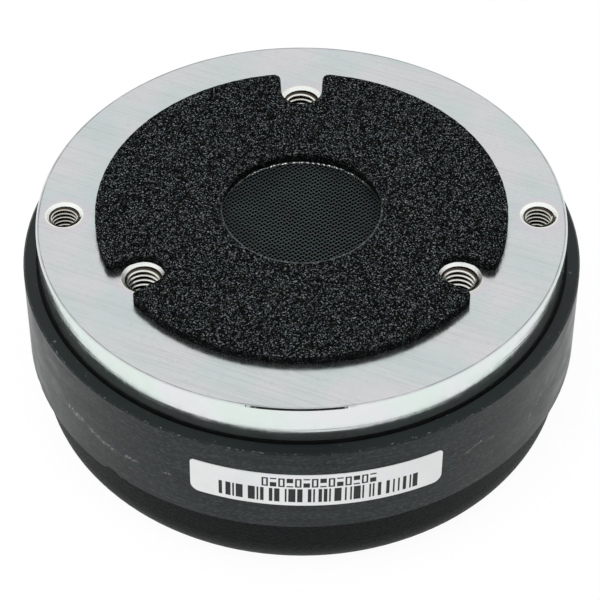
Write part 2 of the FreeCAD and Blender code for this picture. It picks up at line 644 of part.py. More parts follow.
def fastener(label, circle, angle, count, outline, socket=None):
    """Group of like fasteners: one turned about the middle of its hole, then repeated round.

    socket is (height of its mouth, depth, radius to its corners) of a hexagon recess.
    """
    body = body_named(label)
    sketch = sketch_on(body, label + "_outline", "XZ_Plane")
    draw_outline(sketch, [(f"({circle} + {across})", up) for across, up in outline])
    axis = sketch.addGeometry(
        Part.LineSegment(FreeCAD.Vector(value(circle), 0, 0), FreeCAD.Vector(value(circle), 1, 0)),
        True)
    sketch.addConstraint(Sketcher.Constraint("PointOnObject", axis, 1, -1))
    sketch.addConstraint(Sketcher.Constraint("Vertical", axis))
    sketch.addConstraint(Sketcher.Constraint("DistanceY", axis, 1, axis, 2, 1))
    number = sketch.addConstraint(Sketcher.Constraint("DistanceX", -1, 1, axis, 1, value(circle)))
    sketch.setExpression(f"Constraints[{number}]", circle)
    shank = body.newObject("PartDesign::Revolution", label + "_turned")
    shank.Profile = sketch
    shank.ReferenceAxis = (sketch, ["Axis0"])
    shank.Angle = FULL_TURN
    doc.recompute()
    features = [shank]
    if socket:
        mouth, depth, corner = socket
        hexagon = sketch_on(body, label + "_hexagon", "XY_Plane", f"({mouth} + {depth})")
        draw_outline(hexagon, [(f"({circle} + {corner} * cos({step} deg))",
                                f"({corner} * sin({step} deg))")
                               for step in range(30, 390, 60)])
        features.append(pocket_down(body, label + "_socket", hexagon, depth))
    repeat_round(body, label + "_group", features, count)
    body.Placement = FreeCAD.Placement(FreeCAD.Vector(), FreeCAD.Rotation(angle, 0, 0))
    return body


def diaphragm_screws():
    """Pan-head screws that hold the diaphragm ring to the gap plate."""
    head = f"({RING_REAR} - Sizes.ring_head_height)"
    front = f"({GAP_REAR} + Sizes.ring_screw_depth)"
    edge = "Sizes.ring_head_height / 2"
    outline = [("0", head), ("Sizes.ring_head_radius - Sizes.ring_head_round", head),
               ("Sizes.ring_head_radius", f"({head} + {edge})"),
               ("Sizes.ring_head_radius", RING_REAR), ("Sizes.ring_screw_radius", RING_REAR),
               ("Sizes.ring_screw_radius", front), ("0", front)]
    return fastener("diaphragm_screws", RING_CIRCLE, FIRST_RING_SCREW, RING_SCREWS, outline)


def locating_pins():
    """Two pins that centre the diaphragm ring on the gap plate."""
    rear = f"({RING_REAR} - Sizes.pin_nose)"
    front = f"({GAP_REAR} + Sizes.pin_depth)"
    outline = [("0", rear), ("Sizes.pin_radius / 2", rear),
               ("Sizes.pin_radius", f"({rear} + Sizes.pin_nose / 2)"),
               ("Sizes.pin_radius", front), ("0", front)]
    return fastener("locating_pins", RING_CIRCLE, 0, LOCATING_PINS, outline)


def cover_screws():
    """Socket-head screws, sunk in the foot of the cover, that hold it to the gap plate."""
    head = "Sizes.cover_head_sink"
    front = f"({GAP_REAR} + Sizes.cover_screw_depth)"
    outline = [("0", head), ("Sizes.cover_head_radius", head),
               ("Sizes.cover_head_radius", HEAD_SEAT), ("Sizes.cover_screw_radius", HEAD_SEAT),
               ("Sizes.cover_screw_radius", front), ("0", front)]
    socket = (head, "Sizes.socket_depth", "Sizes.socket_radius")
    return fastener("cover_screws", BOSS_CIRCLE, FIRST_COVER_SCREW, COVER_SCREWS, outline, socket)


def terminal(label, side, blade_width):
    """Blade through the pocket's wall, with shoulders against the inside and a tail for the lead."""
    body = body_named(label)
    tail_end = f"({POCKET_INSIDE_Y} - Sizes.tail_length)"
    tip = f"({POCKET_WALL_Y} + Sizes.blade_reach)"
    middle = f"({side} * Sizes.terminal_spacing / 2)"
    half = f"(Sizes.{blade_width} / 2)"
    shoulder = f"({half} + Sizes.shoulder_width)"
    outline = [(shoulder, tail_end), (shoulder, POCKET_INSIDE_Y), (half, POCKET_INSIDE_Y),
               (half, f"({tip} - Sizes.blade_point)"), (f"({half} - Sizes.blade_point)", tip)]
    right = [(f"({middle} + {across})", up) for across, up in outline]
    left = [(f"({middle} - {across})", up) for across, up in reversed(outline)]
    sketch = sketch_on(body, label + "_outline", "XY_Plane", "Sizes.terminal_height")
    draw_outline(sketch, right + left)
    pad(body, label + "_blade", sketch, "Sizes.blade_thickness")
    return body


def lead(label, side):
    """Flat lead from the diaphragm ring to the tail of a terminal."""
    body = body_named(label)
    ring_end = f"({RING_RADIUS} - Sizes.lead_setback)"
    ring_start = f"({ring_end} - Sizes.lead_overlap)"
    tail_start = f"({POCKET_INSIDE_Y} - Sizes.tail_length)"
    tail_end = f"({POCKET_INSIDE_Y} - Sizes.tail_setback)"
    thick = "Sizes.lead_thickness"
    top = [(ring_start, RING_REAR), (ring_end, RING_REAR),
           (tail_start, f"({TERMINAL_TOP} + {thick})"), (tail_end, f"({TERMINAL_TOP} + {thick})")]
    under = [(tail_end, TERMINAL_TOP), (tail_start, TERMINAL_TOP),
             (ring_end, f"({RING_REAR} - {thick})"), (ring_start, f"({RING_REAR} - {thick})")]
    sketch = sketch_on(body, label + "_outline", "YZ_Plane",
                       f"({side} * Sizes.terminal_spacing / 2 - Sizes.lead_width / 2)")
    draw_outline(sketch, top + under)
    pad(body, label + "_strip", sketch, "Sizes.lead_width")
    return body


def cover_gasket():
    """Flat seal between the cover's skirt and the magnet."""
    body = body_named("cover_gasket")
    turned(
        body, "SealRing",
        [(SKIRT_INSIDE, COVER_RIM), (COVER_RADIUS, COVER_RIM), (COVER_RADIUS, MAGNET_REAR),
         (SKIRT_INSIDE, MAGNET_REAR)])
    return body


def damping_pad():
    """Felt disc on the floor of the cover, behind the dome."""
    pad_disc = doc.addObject("Part::Cylinder", "damping_pad")
    pad_disc.Label = "damping_pad"
    pad_disc.setExpression("Radius", "Sizes.pad_radius")
    pad_disc.setExpression("Height", "Sizes.pad_thickness")
    pad_disc.setExpression("Placement.Base.z", FELT_REAR)
    return pad_disc


def rear_cover():
    """Moulded cup with a foot ring, screw bosses and an open pocket for the terminals."""
    envelope = doc.addObject("PartDesign::Body", "CoverEnvelope")
    recess = "Sizes.cover_recess"
    corner = "Sizes.cover_corner"
    turned(
        envelope, "OuterForm",
        [("0", recess), ("Sizes.foot_inner_radius", recess),
         (f"(Sizes.foot_inner_radius + {recess})", "0"), (f"({COVER_RADIUS} - {corner})", "0"),
         (COVER_RADIUS, corner), (COVER_RADIUS, COVER_RIM), ("0", COVER_RIM)],
        {3: (corner, 1)})
    cavity = doc.addObject("PartDesign::Body", "CoverCavity")
    inner_corner = f"({corner} - Sizes.cover_wall)"
    above_rim = f"({COVER_RIM} + {CUT_OVERRUN})"
    turned(
        cavity, "InnerForm",
        [("0", FELT_REAR), (f"({SKIRT_INSIDE} - {inner_corner})", FELT_REAR),
         (SKIRT_INSIDE, f"({FELT_REAR} + {inner_corner})"), (SKIRT_INSIDE, above_rim),
         ("0", above_rim)],
        {1: (inner_corner, 1)})
    wall = "Sizes.pocket_wall"
    below = f"-{CUT_OVERRUN}"
    beyond = f"{COVER_RADIUS} + {CUT_OVERRUN}"
    housing = box("TerminalHousing", (f"-({POCKET_HALF_WIDTH} + {wall})", POCKET_INSIDE_Y, below),
                  (f"{POCKET_HALF_WIDTH} + {wall}", beyond, f"{POCKET_CEILING} + {wall}"))
    shell = cut("CoverShell", envelope, cut("CoverHollow", cavity, housing))
    solid = cutter("CoverSolid", shell, cover_bosses())
    pocket = box("TerminalPocket", (f"-{POCKET_HALF_WIDTH}", POCKET_WALL_Y, below),
                 (POCKET_HALF_WIDTH, beyond, POCKET_CEILING))
    ways = cutter("CoverWays", cover_screw_ways(), pocket,
                  blade_slot(1, "wide_blade"), blade_slot(-1, "narrow_blade"))
    return cut("rear_cover", solid, ways)


def cover_bosses():
    """Round bosses between the cover's floor and the gap plate."""
    body = doc.addObject("PartDesign::Body", "CoverBosses")
    across, up = polar(BOSS_CIRCLE, FIRST_COVER_SCREW)
    outline = sketch_on(body, "BossOutline", "XY_Plane", FELT_REAR)
    draw_circle(outline, across, up, f"({HEAD_WAY} + Sizes.boss_wall)")
    first = pad(body, "Boss", outline, f"{GAP_REAR} - {FELT_REAR}")
    repeat_round(body, "Bosses", [first], COVER_SCREWS)
    return body


def cover_screw_ways():
    """Stepped holes through foot and bosses, with room for the screws' heads."""
    way = "(Sizes.cover_screw_radius + Sizes.cover_screw_air)"
    below = f"-{CUT_OVERRUN}"
    above = f"({GAP_REAR} + {CUT_OVERRUN})"
    outline = [("0", below), (HEAD_WAY, below), (HEAD_WAY, HEAD_SEAT), (way, HEAD_SEAT),
               (way, above), ("0", above)]
    return fastener("CoverScrewWays", BOSS_CIRCLE, FIRST_COVER_SCREW, COVER_SCREWS, outline)


def blade_slot(side, blade_width):
    """Slot in the pocket's wall, of a blade's own section."""
    middle = f"{side} * Sizes.terminal_spacing / 2"
    half = f"Sizes.{blade_width} / 2"
    return box(
        f"Slot_{blade_width}",
        (f"{middle} - {half}", f"{POCKET_INSIDE_Y} - {CUT_OVERRUN}", "Sizes.terminal_height"),
        (f"{middle} + {half}", f"{POCKET_WALL_Y} + {CUT_OVERRUN}", TERMINAL_TOP))


def label_strip():
    """Paper label that follows the magnet's side, with rounded corners."""
    front = doc.addObject("PartDesign::Body", "LabelFace")
    top = f"({MAGNET_FRONT} - Sizes.label_drop)"
    low = f"({top} - Sizes.label_height)"
    wide, corner = "Sizes.label_half_width", "Sizes.label_corner"
    sketch = sketch_on(front, "LabelOutline", "XZ_Plane", "Sizes.magnet_radius / 2")
    draw_outline(
        sketch,
        [(f"({corner} - {wide})", low), (f"({wide} - {corner})", low), (wide, f"({low} + {corner})"),
         (wide, f"({top} - {corner})"), (f"({wide} - {corner})", top), (f"({corner} - {wide})", top),
         (f"-{wide}", f"({top} - {corner})"), (f"-{wide}", f"({low} + {corner})")],
        {1: (corner, 1), 3: (corner, 1), 5: (corner, 1), 7: (corner, 1)})
    pad(front, "LabelPrism", sketch, "Sizes.magnet_radius")
    outside = doc.addObject("Part::Cylinder", "LabelOutside")
    outside.setExpression("Radius", "Sizes.magnet_radius + Sizes.label_paper")
    outside.setExpression("Height", MAGNET_FRONT)
    inside = doc.addObject("Part::Cylinder", "LabelInside")
    inside.setExpression("Radius", "Sizes.magnet_radius")
    inside.setExpression("Height", MAGNET_FRONT)
    skin = cut("LabelSkin", outside, inside)
    strip = doc.addObject("Part::Common", "label")
    strip.Label = "label"
    strip.Base = skin
    strip.Tool = front
    strip.setExpression("Placement.Rotation.Angle", "Sizes.label_turn * 1 deg")
    return strip


def build():
    """Every piece of the driver, from the front to the rear."""
    return [
        foam_gasket(), throat_screen(), front_plate(), pole_piece(), ferrite_magnet(), gap_plate(),
        phase_plug(), diaphragm(), voice_coil_former(), voice_coil(), diaphragm_ring(),
        diaphragm_screws(), locating_pins(),
        lead("lead_positive", 1), lead("lead_negative", -1),
        terminal("terminal_positive", 1, "wide_blade"),
        terminal("terminal_negative", -1, "narrow_blade"),
        damping_pad(), cover_gasket(), rear_cover(), cover_screws(), label_strip(),
    ]


def check(pieces):
    """Stop before anything is written if a feature failed or a piece isn't a valid solid."""
    for item in doc.Objects:
        if any(word in item.State for word in ("Invalid", "Error")):
            raise RuntimeError(f"{item.Name} failed: {item.getStatusString()}")
    for piece in pieces:
        shape = piece.Shape
        if shape.isNull() or not shape.isValid() or not shape.Solids:
            raise RuntimeError(f"{piece.Label} has no valid solid")


pieces = build()
doc.recompute()
check(pieces)
os.makedirs("parts", exist_ok=True)
for piece in pieces:
    piece.Shape.exportStep(os.path.join("parts", piece.Label + ".step"))
    bounds = piece.Shape.BoundBox
    print(f"{piece.Label:20s} solids {len(piece.Shape.Solids)} volume {piece.Shape.Volume:9.2f} "
          f"z {bounds.ZMin:6.2f} to {bounds.ZMax:6.2f} reach {max(bounds.XMax, bounds.YMax):6.2f}")
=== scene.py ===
# %% [markdown]
# # A compression driver, from plain solids to a finished picture
#
# A compression driver is the motor of a horn loudspeaker. This one lies on its rear cover with the
# horn side up: a zinc-plated steel plate with five tapped holes, a ring of black foam that seals
# against the horn, a woven wire screen over the throat, and below the plate a ferrite ring magnet
# with a white paper strip and a moulded rear cover.
#
# The solids come from the CAD model and keep their size and place. This notebook gives them their
# finishes and models the few pieces whose looks a plain solid can't give: the foam, the woven
# screen, the threads in the holes, the bead at the plate's foot and the paper strip.

# %% The tools of this notebook
import math
import random

import bpy
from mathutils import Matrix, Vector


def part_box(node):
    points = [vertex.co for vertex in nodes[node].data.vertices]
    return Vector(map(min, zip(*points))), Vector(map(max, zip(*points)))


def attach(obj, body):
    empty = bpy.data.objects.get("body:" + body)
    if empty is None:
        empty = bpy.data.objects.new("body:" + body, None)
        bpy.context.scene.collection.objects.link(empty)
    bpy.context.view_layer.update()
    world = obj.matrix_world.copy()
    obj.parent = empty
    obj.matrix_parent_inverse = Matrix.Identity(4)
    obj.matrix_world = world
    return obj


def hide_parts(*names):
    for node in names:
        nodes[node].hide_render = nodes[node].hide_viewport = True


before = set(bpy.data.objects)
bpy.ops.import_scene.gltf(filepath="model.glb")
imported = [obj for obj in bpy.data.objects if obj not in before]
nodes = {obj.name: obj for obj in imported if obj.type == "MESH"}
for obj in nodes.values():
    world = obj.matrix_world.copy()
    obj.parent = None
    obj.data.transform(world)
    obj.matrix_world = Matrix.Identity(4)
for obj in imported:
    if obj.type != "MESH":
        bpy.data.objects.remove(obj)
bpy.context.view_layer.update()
print("solids:", len(nodes))

# The radii of the two bolt circles and of the magnet, in mm
M6_CIRCLE = 28.575
M5_CIRCLE = 38.1
MAGNET_RIM = 45.1

# %% [markdown]
# All lengths below are written in millimetres and turned into metres by `mm`, because the scene is
# in metres. An operator works on everything that is selected, so `start_clean` comes before each
# new primitive. `pick` selects faces, edges or points of a piece by a test on their place, as a
# hand would pick them in edit mode, and leaves the piece in edit mode.

# %% Helpers for modelling
def mm(length):
    """A length in millimetres, in metres."""
    return length / 1000.0


# A tolerance for picking points by their place
HAIR = mm(0.01)


def start_clean():
    """Object mode with nothing selected."""
    if bpy.context.mode != "OBJECT":
        bpy.ops.object.mode_set(mode="OBJECT")
    bpy.ops.object.select_all(action="DESELECT")


def work_on(piece):
    """Make one piece the only selected and active one."""
    start_clean()
    piece.select_set(True)
    bpy.context.view_layer.objects.active = piece


def named(name):
    """Name the primitive that was just added."""
    piece = bpy.context.active_object
    piece.name = name
    piece.data.name = name
    return piece


def pick(piece, kind, test):
    """Select the faces, edges or points of a piece that pass a test, in edit mode."""
    work_on(piece)
    mesh = piece.data
    bpy.ops.object.mode_set(mode="EDIT")
    bpy.ops.mesh.select_mode(type=kind)
    bpy.ops.mesh.select_all(action="DESELECT")
    bpy.ops.object.mode_set(mode="OBJECT")
    if kind == "FACE":
        for face in mesh.polygons:
            face.select = test(face.center, face.normal)
    elif kind == "EDGE":
        for edge in mesh.edges:
            ends = [mesh.vertices[index].co for index in edge.vertices]
            edge.select = test(ends[0], ends[1])
    else:
        for point in mesh.vertices:
            point.select = test(point.co)
    bpy.ops.object.mode_set(mode="EDIT")


def finish_edit(piece, smooth_angle=None):
    """Point all faces outwards, leave edit mode and shade the piece."""
    work_on(piece)
    bpy.ops.object.mode_set(mode="EDIT")
    bpy.ops.mesh.select_all(action="SELECT")
    bpy.ops.mesh.normals_make_consistent(inside=False)
    bpy.ops.object.mode_set(mode="OBJECT")
    if smooth_angle is not None:
        bpy.ops.object.shade_smooth_by_angle(angle=math.radians(smooth_angle))


def settle(piece):
    """Move place, turn and size of a piece into its mesh."""
    work_on(piece)
    bpy.ops.object.transform_apply(location=True, rotation=True, scale=True)


def spin(piece, degrees, axis="Z", centre=(0.0, 0.0, 0.0)):
    """Turn a piece about an axis, where positive is clockwise, as the operator counts it."""
    work_on(piece)
    bpy.ops.transform.rotate(value=math.radians(degrees), orient_axis=axis, center_override=centre)
    settle(piece)


def apply(piece, modifier):
    """Apply one modifier of a piece."""
    work_on(piece)
    bpy.ops.object.modifier_apply(modifier=modifier.name)


def cut(piece, tool):
    """Cut a piece with a tool, and take the tool away."""
    knife = piece.modifiers.new("cut", "BOOLEAN")
    knife.operation = "DIFFERENCE"
    knife.solver = "EXACT"
    knife.object = tool
    apply(piece, knife)
    bpy.data.objects.remove(tool)


def join(pieces, name):
    """Join several objects into one piece."""
    start_clean()
    for piece in pieces:
        piece.select_set(True)
    bpy.context.view_layer.objects.active = pieces[0]
    bpy.ops.object.join()
    pieces[0].name = name
    pieces[0].data.name = name
    return pieces[0]


def flat_ring(name, sides, radius, width, middle, height):
    """A flat ring: a cylinder whose two faces are inset and bridged through its middle."""
    start_clean()
    bpy.ops.mesh.primitive_cylinder_add(vertices=sides, radius=radius, depth=height,
                                        location=(0.0, 0.0, middle))
    piece = named(name)
    settle(piece)
    pick(piece, "FACE", lambda place, normal: abs(normal.z) > 0.9)
    bpy.ops.mesh.inset(thickness=width, use_individual=True)
    bpy.ops.mesh.bridge_edge_loops()
    return piece


def triangles(piece):
    """How many triangles a piece has."""
    return sum(len(face.vertices) - 2 for face in piece.data.polygons)


# %% [markdown]
# ## Camera
#
# The driver was photographed with a long lens from about 45 degrees above. A camera fitted to the
# outlines of plate, magnet, foam and the five holes gives the place and lens below; the horn side
# of the part lies 37.5 mm above the floor. A long lens keeps the ellipses of plate and foam nearly
# alike, which is what the photograph shows.

# %% Camera
camera_data = bpy.data.cameras.new("camera")
camera_data.sensor_width = 36.0
camera_data.lens = 153.88
camera_data.clip_start = 0.01
camera = bpy.data.objects.new("camera", camera_data)
camera.location = (mm(-0.257), mm(-301.75), mm(317.77))
camera.rotation_euler = (math.radians(45.216), 0.0, 0.0)
bpy.context.collection.objects.link(camera)
bpy.context.scene.camera = camera
bpy.context.scene.view_settings.view_transform = "Standard"
print("camera distance in mm:", round(1000 * camera.location.length))

# %% [markdown]
# ## Studio
#
# Plated steel shows its surroundings more than its own colour, so the studio matters as much as
# the metal. A white world does for camera and gloss, while a weaker one and one large soft lamp
# above the camera light the dull surfaces. The floor is white paper: it shows white to the camera
# and to the metal, and keeps part of the shadow.

# %% Studio
world = bpy.data.worlds.new("studio")
bpy.context.scene.world = world
world.use_nodes = True
sky = world.node_tree
sky.nodes.clear()
sky_paths = sky.nodes.new("ShaderNodeLightPath")
seen = sky.nodes.new("ShaderNodeMath")
seen.operation = "MAXIMUM"
sky.links.new(sky_paths.outputs["Is Camera Ray"], seen.inputs[0])
sky.links.new(sky_paths.outputs["Is Glossy Ray"], seen.inputs[1])
through = sky.nodes.new("ShaderNodeMath")
through.operation = "MAXIMUM"
sky.links.new(seen.outputs[0], through.inputs[0])
sky.links.new(sky_paths.outputs["Is Transmission Ray"], through.inputs[1])
strength = sky.nodes.new("ShaderNodeMapRange")
strength.inputs["To Min"].default_value = 0.6
strength.inputs["To Max"].default_value = 1.0
sky.links.new(through.outputs[0], strength.inputs["Value"])
backlight = sky.nodes.new("ShaderNodeBackground")
backlight.inputs["Color"].default_value = (1.0, 1.0, 1.0, 1.0)
sky.links.new(strength.outputs["Result"], backlight.inputs["Strength"])
sky_out = sky.nodes.new("ShaderNodeOutputWorld")
sky.links.new(backlight.outputs["Background"], sky_out.inputs["Surface"])

lamp_data = bpy.data.lights.new("softbox", "AREA")
lamp_data.shape = "DISK"
lamp_data.size = 0.7
lamp_data.energy = 2.6
lamp = bpy.data.objects.new("softbox", lamp_data)
lamp.location = (-0.12, -0.38, 0.72)
lamp.rotation_euler = (math.radians(27.8), math.radians(-8.0), 0.0)
lamp.visible_glossy = False
bpy.context.collection.objects.link(lamp)

start_clean()
bpy.ops.mesh.primitive_plane_add(size=6.0, location=(0.0, 0.0, 0.0))
floor = named("floor")
paper = bpy.data.materials.new("floor_paper")
paper.use_nodes = True
tree = paper.node_tree
tree.nodes.clear()
dull = tree.nodes.new("ShaderNodeBsdfDiffuse")
dull.inputs["Color"].default_value = (0.9, 0.9, 0.9, 1.0)
glow = tree.nodes.new("ShaderNodeEmission")
glow.inputs["Strength"].default_value = 1.04
paths = tree.nodes.new("ShaderNodeLightPath")
either = tree.nodes.new("ShaderNodeMath")
either.operation = "MAXIMUM"
tree.links.new(paths.outputs["Is Camera Ray"], either.inputs[0])
tree.links.new(paths.outputs["Is Glossy Ray"], either.inputs[1])
share = tree.nodes.new("ShaderNodeMath")
share.operation = "MULTIPLY"
share.inputs[1].default_value = 0.9
tree.links.new(either.outputs[0], share.inputs[0])
blend_paper = tree.nodes.new("ShaderNodeMixShader")
tree.links.new(share.outputs[0], blend_paper.inputs["Fac"])
tree.links.new(dull.outputs[0], blend_paper.inputs[1])
tree.links.new(glow.outputs[0], blend_paper.inputs[2])
paper_out = tree.nodes.new("ShaderNodeOutputMaterial")
tree.links.new(blend_paper.outputs[0], paper_out.inputs["Surface"])
floor.data.materials.append(paper)

# %% [markdown]
# The polished edge of the plate stands at 45 degrees, so at the front it mirrors the dark camera
# that took the photograph: there it shows a black line. A small black card does the same. It
# stands close to the edge, so that little else mirrors it. Only gloss sees it, so it throws no
# shadow.

# %% Black card
EDGE_TO_CARD = mm(60.0)
CARD_RISE = math.radians(43.5)
start_clean()
bpy.ops.mesh.primitive_plane_add(
    size=1.0, rotation=(math.pi / 2 - CARD_RISE, 0.0, 0.0),
    location=(mm(-1.6), mm(-42.6) - EDGE_TO_CARD * math.cos(CARD_RISE),
              mm(37.3) + EDGE_TO_CARD * math.sin(CARD_RISE)))
card = named("dark_card")
card.scale = (mm(48.0), mm(16.0), 1.0)
card.visible_camera = False
card.visible_diffuse = False
card.visible_transmission = False
card.visible_shadow = False
black = bpy.data.materials.new("card_black")
black.use_nodes = True
black.node_tree.nodes.clear()
unlit = black.node_tree.nodes.new("ShaderNodeBsdfDiffuse")
unlit.inputs["Color"].default_value = (0.01, 0.01, 0.01, 1.0)
card_out = black.node_tree.nodes.new("ShaderNodeOutputMaterial")
black.node_tree.links.new(unlit.outputs[0], card_out.inputs["Surface"])
card.data.materials.append(black)

# %% [markdown]
# ## Finishes
#
# Every finish is a small net of nodes that reads Object coordinates, so its grain stays with the
# piece and has a real size: a noise scale of 1000 makes spots of about a millimetre. `Finish`
# keeps the calls short: it makes the material and adds nodes whose inputs may be numbers, colours
# or the outputs of other nodes.

# %% A short way to write node nets
class Finish:
    """A material with one Principled shader, built up node by node."""

    def __init__(self, name, **settings):
        self.material = bpy.data.materials.new(name)
        self.material.use_nodes = True
        self.tree = self.material.node_tree
        self.shader = self.tree.nodes["Principled BSDF"]
        self.place = self.tree.nodes.new("ShaderNodeTexCoord").outputs["Object"]
        self.set(self.shader, settings)

    def set(self, node, inputs):
        """Fill inputs of a node by name or number, with values or with other nodes' outputs."""
        for key, value in inputs.items():
            name = key.replace("_", " ") if isinstance(key, str) else key
            if isinstance(value, bpy.types.NodeSocket):
                self.tree.links.new(value, node.inputs[name])
            else:
                node.inputs[name].default_value = value

    def add(self, kind, inputs=None, output=0, **settings):
        """Add one node and return one of its outputs."""
        node = self.tree.nodes.new("ShaderNode" + kind)
        for key, value in settings.items():
            setattr(node, key, value)
        self.set(node, inputs or {})
        return node.outputs[output]

    def math(self, operation, first, second=0.0):
        """One Math node."""
        return self.add("Math", {0: first, 1: second}, operation=operation)

    def hypot(self, first, second):
        """The length of the long side over two short ones."""
        return self.math("SQRT", self.math("ADD", self.math("MULTIPLY", first, first),
                                           self.math("MULTIPLY", second, second)))

    def axes(self):
        """X, Y and Z of the place, by name."""
        return self.add("SeparateXYZ", {"Vector": self.place}).node.outputs

    def noise(self, size, detail=2.0, stretch=None, roughness=0.5, turn=0.0):
        """Noise whose spots have about this size in mm, drawn out by a stretch per axis."""
        place = self.place
        if turn:
            place = self.add("VectorRotate", {"Vector": place, "Angle": math.radians(turn)},
                             rotation_type="Z_AXIS")
        if stretch:
            place = self.add("Mapping", {"Vector": place, "Scale": [1.0 / s for s in stretch]})
        return self.add("TexNoise", {"Vector": place, "Scale": 1000.0 / size, "Detail": detail,
                                     "Roughness": roughness})

    def between(self, value, low, high, to_low=0.0, to_high=1.0):
        """Map a value from one range to another, and hold it there."""
        return self.add("MapRange", {"Value": value, "From_Min": low, "From_Max": high,
                                     "To_Min": to_low, "To_Max": to_high}, clamp=True)

    def mixed(self, factor, first, second, blend="MIX"):
        """A colour between two others."""
        return self.add("Mix", {0: factor, 6: first, 7: second}, output=2, data_type="RGBA",
                        blend_type=blend)

    def bump(self, height, distance, strength=1.0, under=None):
        """A bump of this depth in mm."""
        inputs = {"Height": height, "Distance": mm(distance), "Strength": strength}
        if under is not None:
            inputs["Normal"] = under
        return self.add("Bump", inputs)


# Dull surfaces reflect a slightly blue-green white
COOL = (0.84, 1.0, 1.0, 1.0)


def grey(level, tint=(1.0, 1.0, 1.0)):
    """A colour from one level and a slight tint."""
    return (level * tint[0], level * tint[1], level * tint[2], 1.0)


# %% [markdown]
# ### Zinc-plated steel
#
# The plate is turned and ground, then plated with zinc and passivated, which leaves a pale
# blue-green metal with faint lilac clouds and yellow to pink tints where the plating is thinner,
# round the holes. Its gloss is soft and streaky, as fine grinding marks run across it. The net
# mixes two greys in large clouds, varies the roughness, lays long thin marks in the bump, and adds
# the tints by distance from the nearest hole: the angle is folded onto one third of the circle,
# so one hole's distance serves all three.

# %% Zinc
def hole_distance(net):
    """Distance in metres from the axis of the nearest tapped hole."""
    parts = net.axes()
    angle = net.math("ARCTAN2", parts["Y"], parts["X"])
    third = math.radians(120.0)
    folded = net.math("PINGPONG", net.math("ADD", angle, math.radians(30.0 + 360.0)), third / 2)
    radius = net.hypot(parts["X"], parts["Y"])
    along = net.math("MULTIPLY", radius, net.math("COSINE", folded))
    across = net.math("MULTIPLY", radius, net.math("SINE", folded))
    large = net.hypot(net.math("SUBTRACT", along, mm(M6_CIRCLE)), across)
    off_small = net.math("SUBTRACT", net.math("ABSOLUTE", parts["X"]), mm(M5_CIRCLE))
    small = net.hypot(off_small, parts["Y"])
    return net.math("MINIMUM", large, net.math("ADD", small, mm(0.5)))


def turned_steel(net, grinding, below):
    """A bump: marks along Y, grinding across them, ripples up the rim, and rings below its edge."""
    marks = net.noise(0.45, 3.0, stretch=(1.0, 40.0, 40.0))
    ripples = net.noise(1.6, 4.0, stretch=(1.0, 1.0, 80.0))
    rings = net.math("MULTIPLY", net.noise(0.45, 3.0, stretch=(60.0, 60.0, 1.0)), below)
    bump = net.bump(grinding, 0.010, 0.4, net.bump(marks, 0.020, 0.9))
    return net.bump(rings, 0.03, 0.8, net.bump(ripples, 0.02, 0.6, bump))


def zinc_face():
    """Zinc plating with clouds, fine marks, tints round the holes and dark bores."""
    net = Finish("zinc_plate", Metallic=0.98)
    parts = net.axes()
    radius = net.hypot(parts["X"], parts["Y"])
    clouds = net.between(net.noise(9.0, 4.0), 0.35, 0.65)
    colour = net.mixed(clouds, grey(0.60, (0.93, 1.03, 1.03)), grey(0.635, (1.0, 1.0, 1.02)))
    grinding = net.noise(0.34, 3.0, stretch=(50.0, 1.0, 1.0), turn=24.0)
    colour = net.mixed(net.between(grinding, 0.50, 0.75, 0.0, 0.38), colour, grey(0.43))
    worn = net.between(net.noise(0.9, 5.0, roughness=0.65), 0.55, 0.8, 0.0, 0.35)
    colour = net.mixed(worn, colour, grey(0.43, (0.96, 1.0, 1.02)))
    wall = net.between(radius, mm(42.35), mm(42.55))
    bloom = net.between(net.noise(14.0, 2.0), 0.42, 0.58)
    colour = net.mixed(wall, colour, net.mixed(bloom, grey(0.79, (0.93, 1.04, 0.99)),
                                               grey(0.79, (0.99, 1.01, 1.03))))

    reach = hole_distance(net)
    ragged = net.math("ADD", reach, net.math("MULTIPLY", net.noise(2.5, 3.0), mm(1.0)))
    gold = net.between(ragged, mm(3.7), mm(4.5), 0.38, 0.0)
    colour = net.mixed(gold, colour, (0.78, 0.75, 0.48, 1.0))
    pink = net.math("MULTIPLY", net.between(ragged, mm(4.1), mm(4.5)),
                    net.between(ragged, mm(4.6), mm(5.6), 0.30, 0.0))
    colour = net.mixed(pink, colour, (0.68, 0.54, 0.66, 1.0))

    burr = net.math("MULTIPLY", net.between(radius, mm(42.08), mm(42.16)),
                    net.between(radius, mm(42.24), mm(42.32), 1.0, 0.0))
    burr = net.math("MULTIPLY", burr, net.between(net.noise(4.0, 3.0), 0.3, 0.6, 0.25, 0.75))
    colour = net.mixed(burr, colour, grey(0.16))
    polished = net.math("MULTIPLY", net.between(radius, mm(42.34), mm(42.38)),
                        net.between(parts["Z"], mm(37.24), mm(37.27)))
    mouth = net.between(reach, mm(3.45), mm(3.6), 1.0, 0.0)
    colour = net.mixed(mouth, colour, (0.95, 0.97, 0.94, 1.0))
    uneven = net.between(net.noise(2.0, 4.0), 0.3, 0.7, 0.18, 0.27)
    duller = net.math("ADD", net.math("MULTIPLY", mouth, 0.18), net.math("MULTIPLY", wall, -0.08))

    bore = net.math("MULTIPLY", net.between(reach, mm(3.0), mm(3.04), 1.0, 0.0),
                    net.math("LESS_THAN", parts["Z"], mm(36.98)))
    colour = net.mixed(bore, colour, (0.05, 0.042, 0.03, 1.0))
    net.set(net.shader, {
        "Base_Color": colour,
        "Roughness": net.math("ADD", uneven, net.math("SUBTRACT", duller,
                                                      net.math("MULTIPLY", polished, 0.10))),
        "Normal": turned_steel(net, grinding,
                               net.between(parts["Z"], mm(37.0), mm(37.2), 1.0, 0.0))})
    return net.material


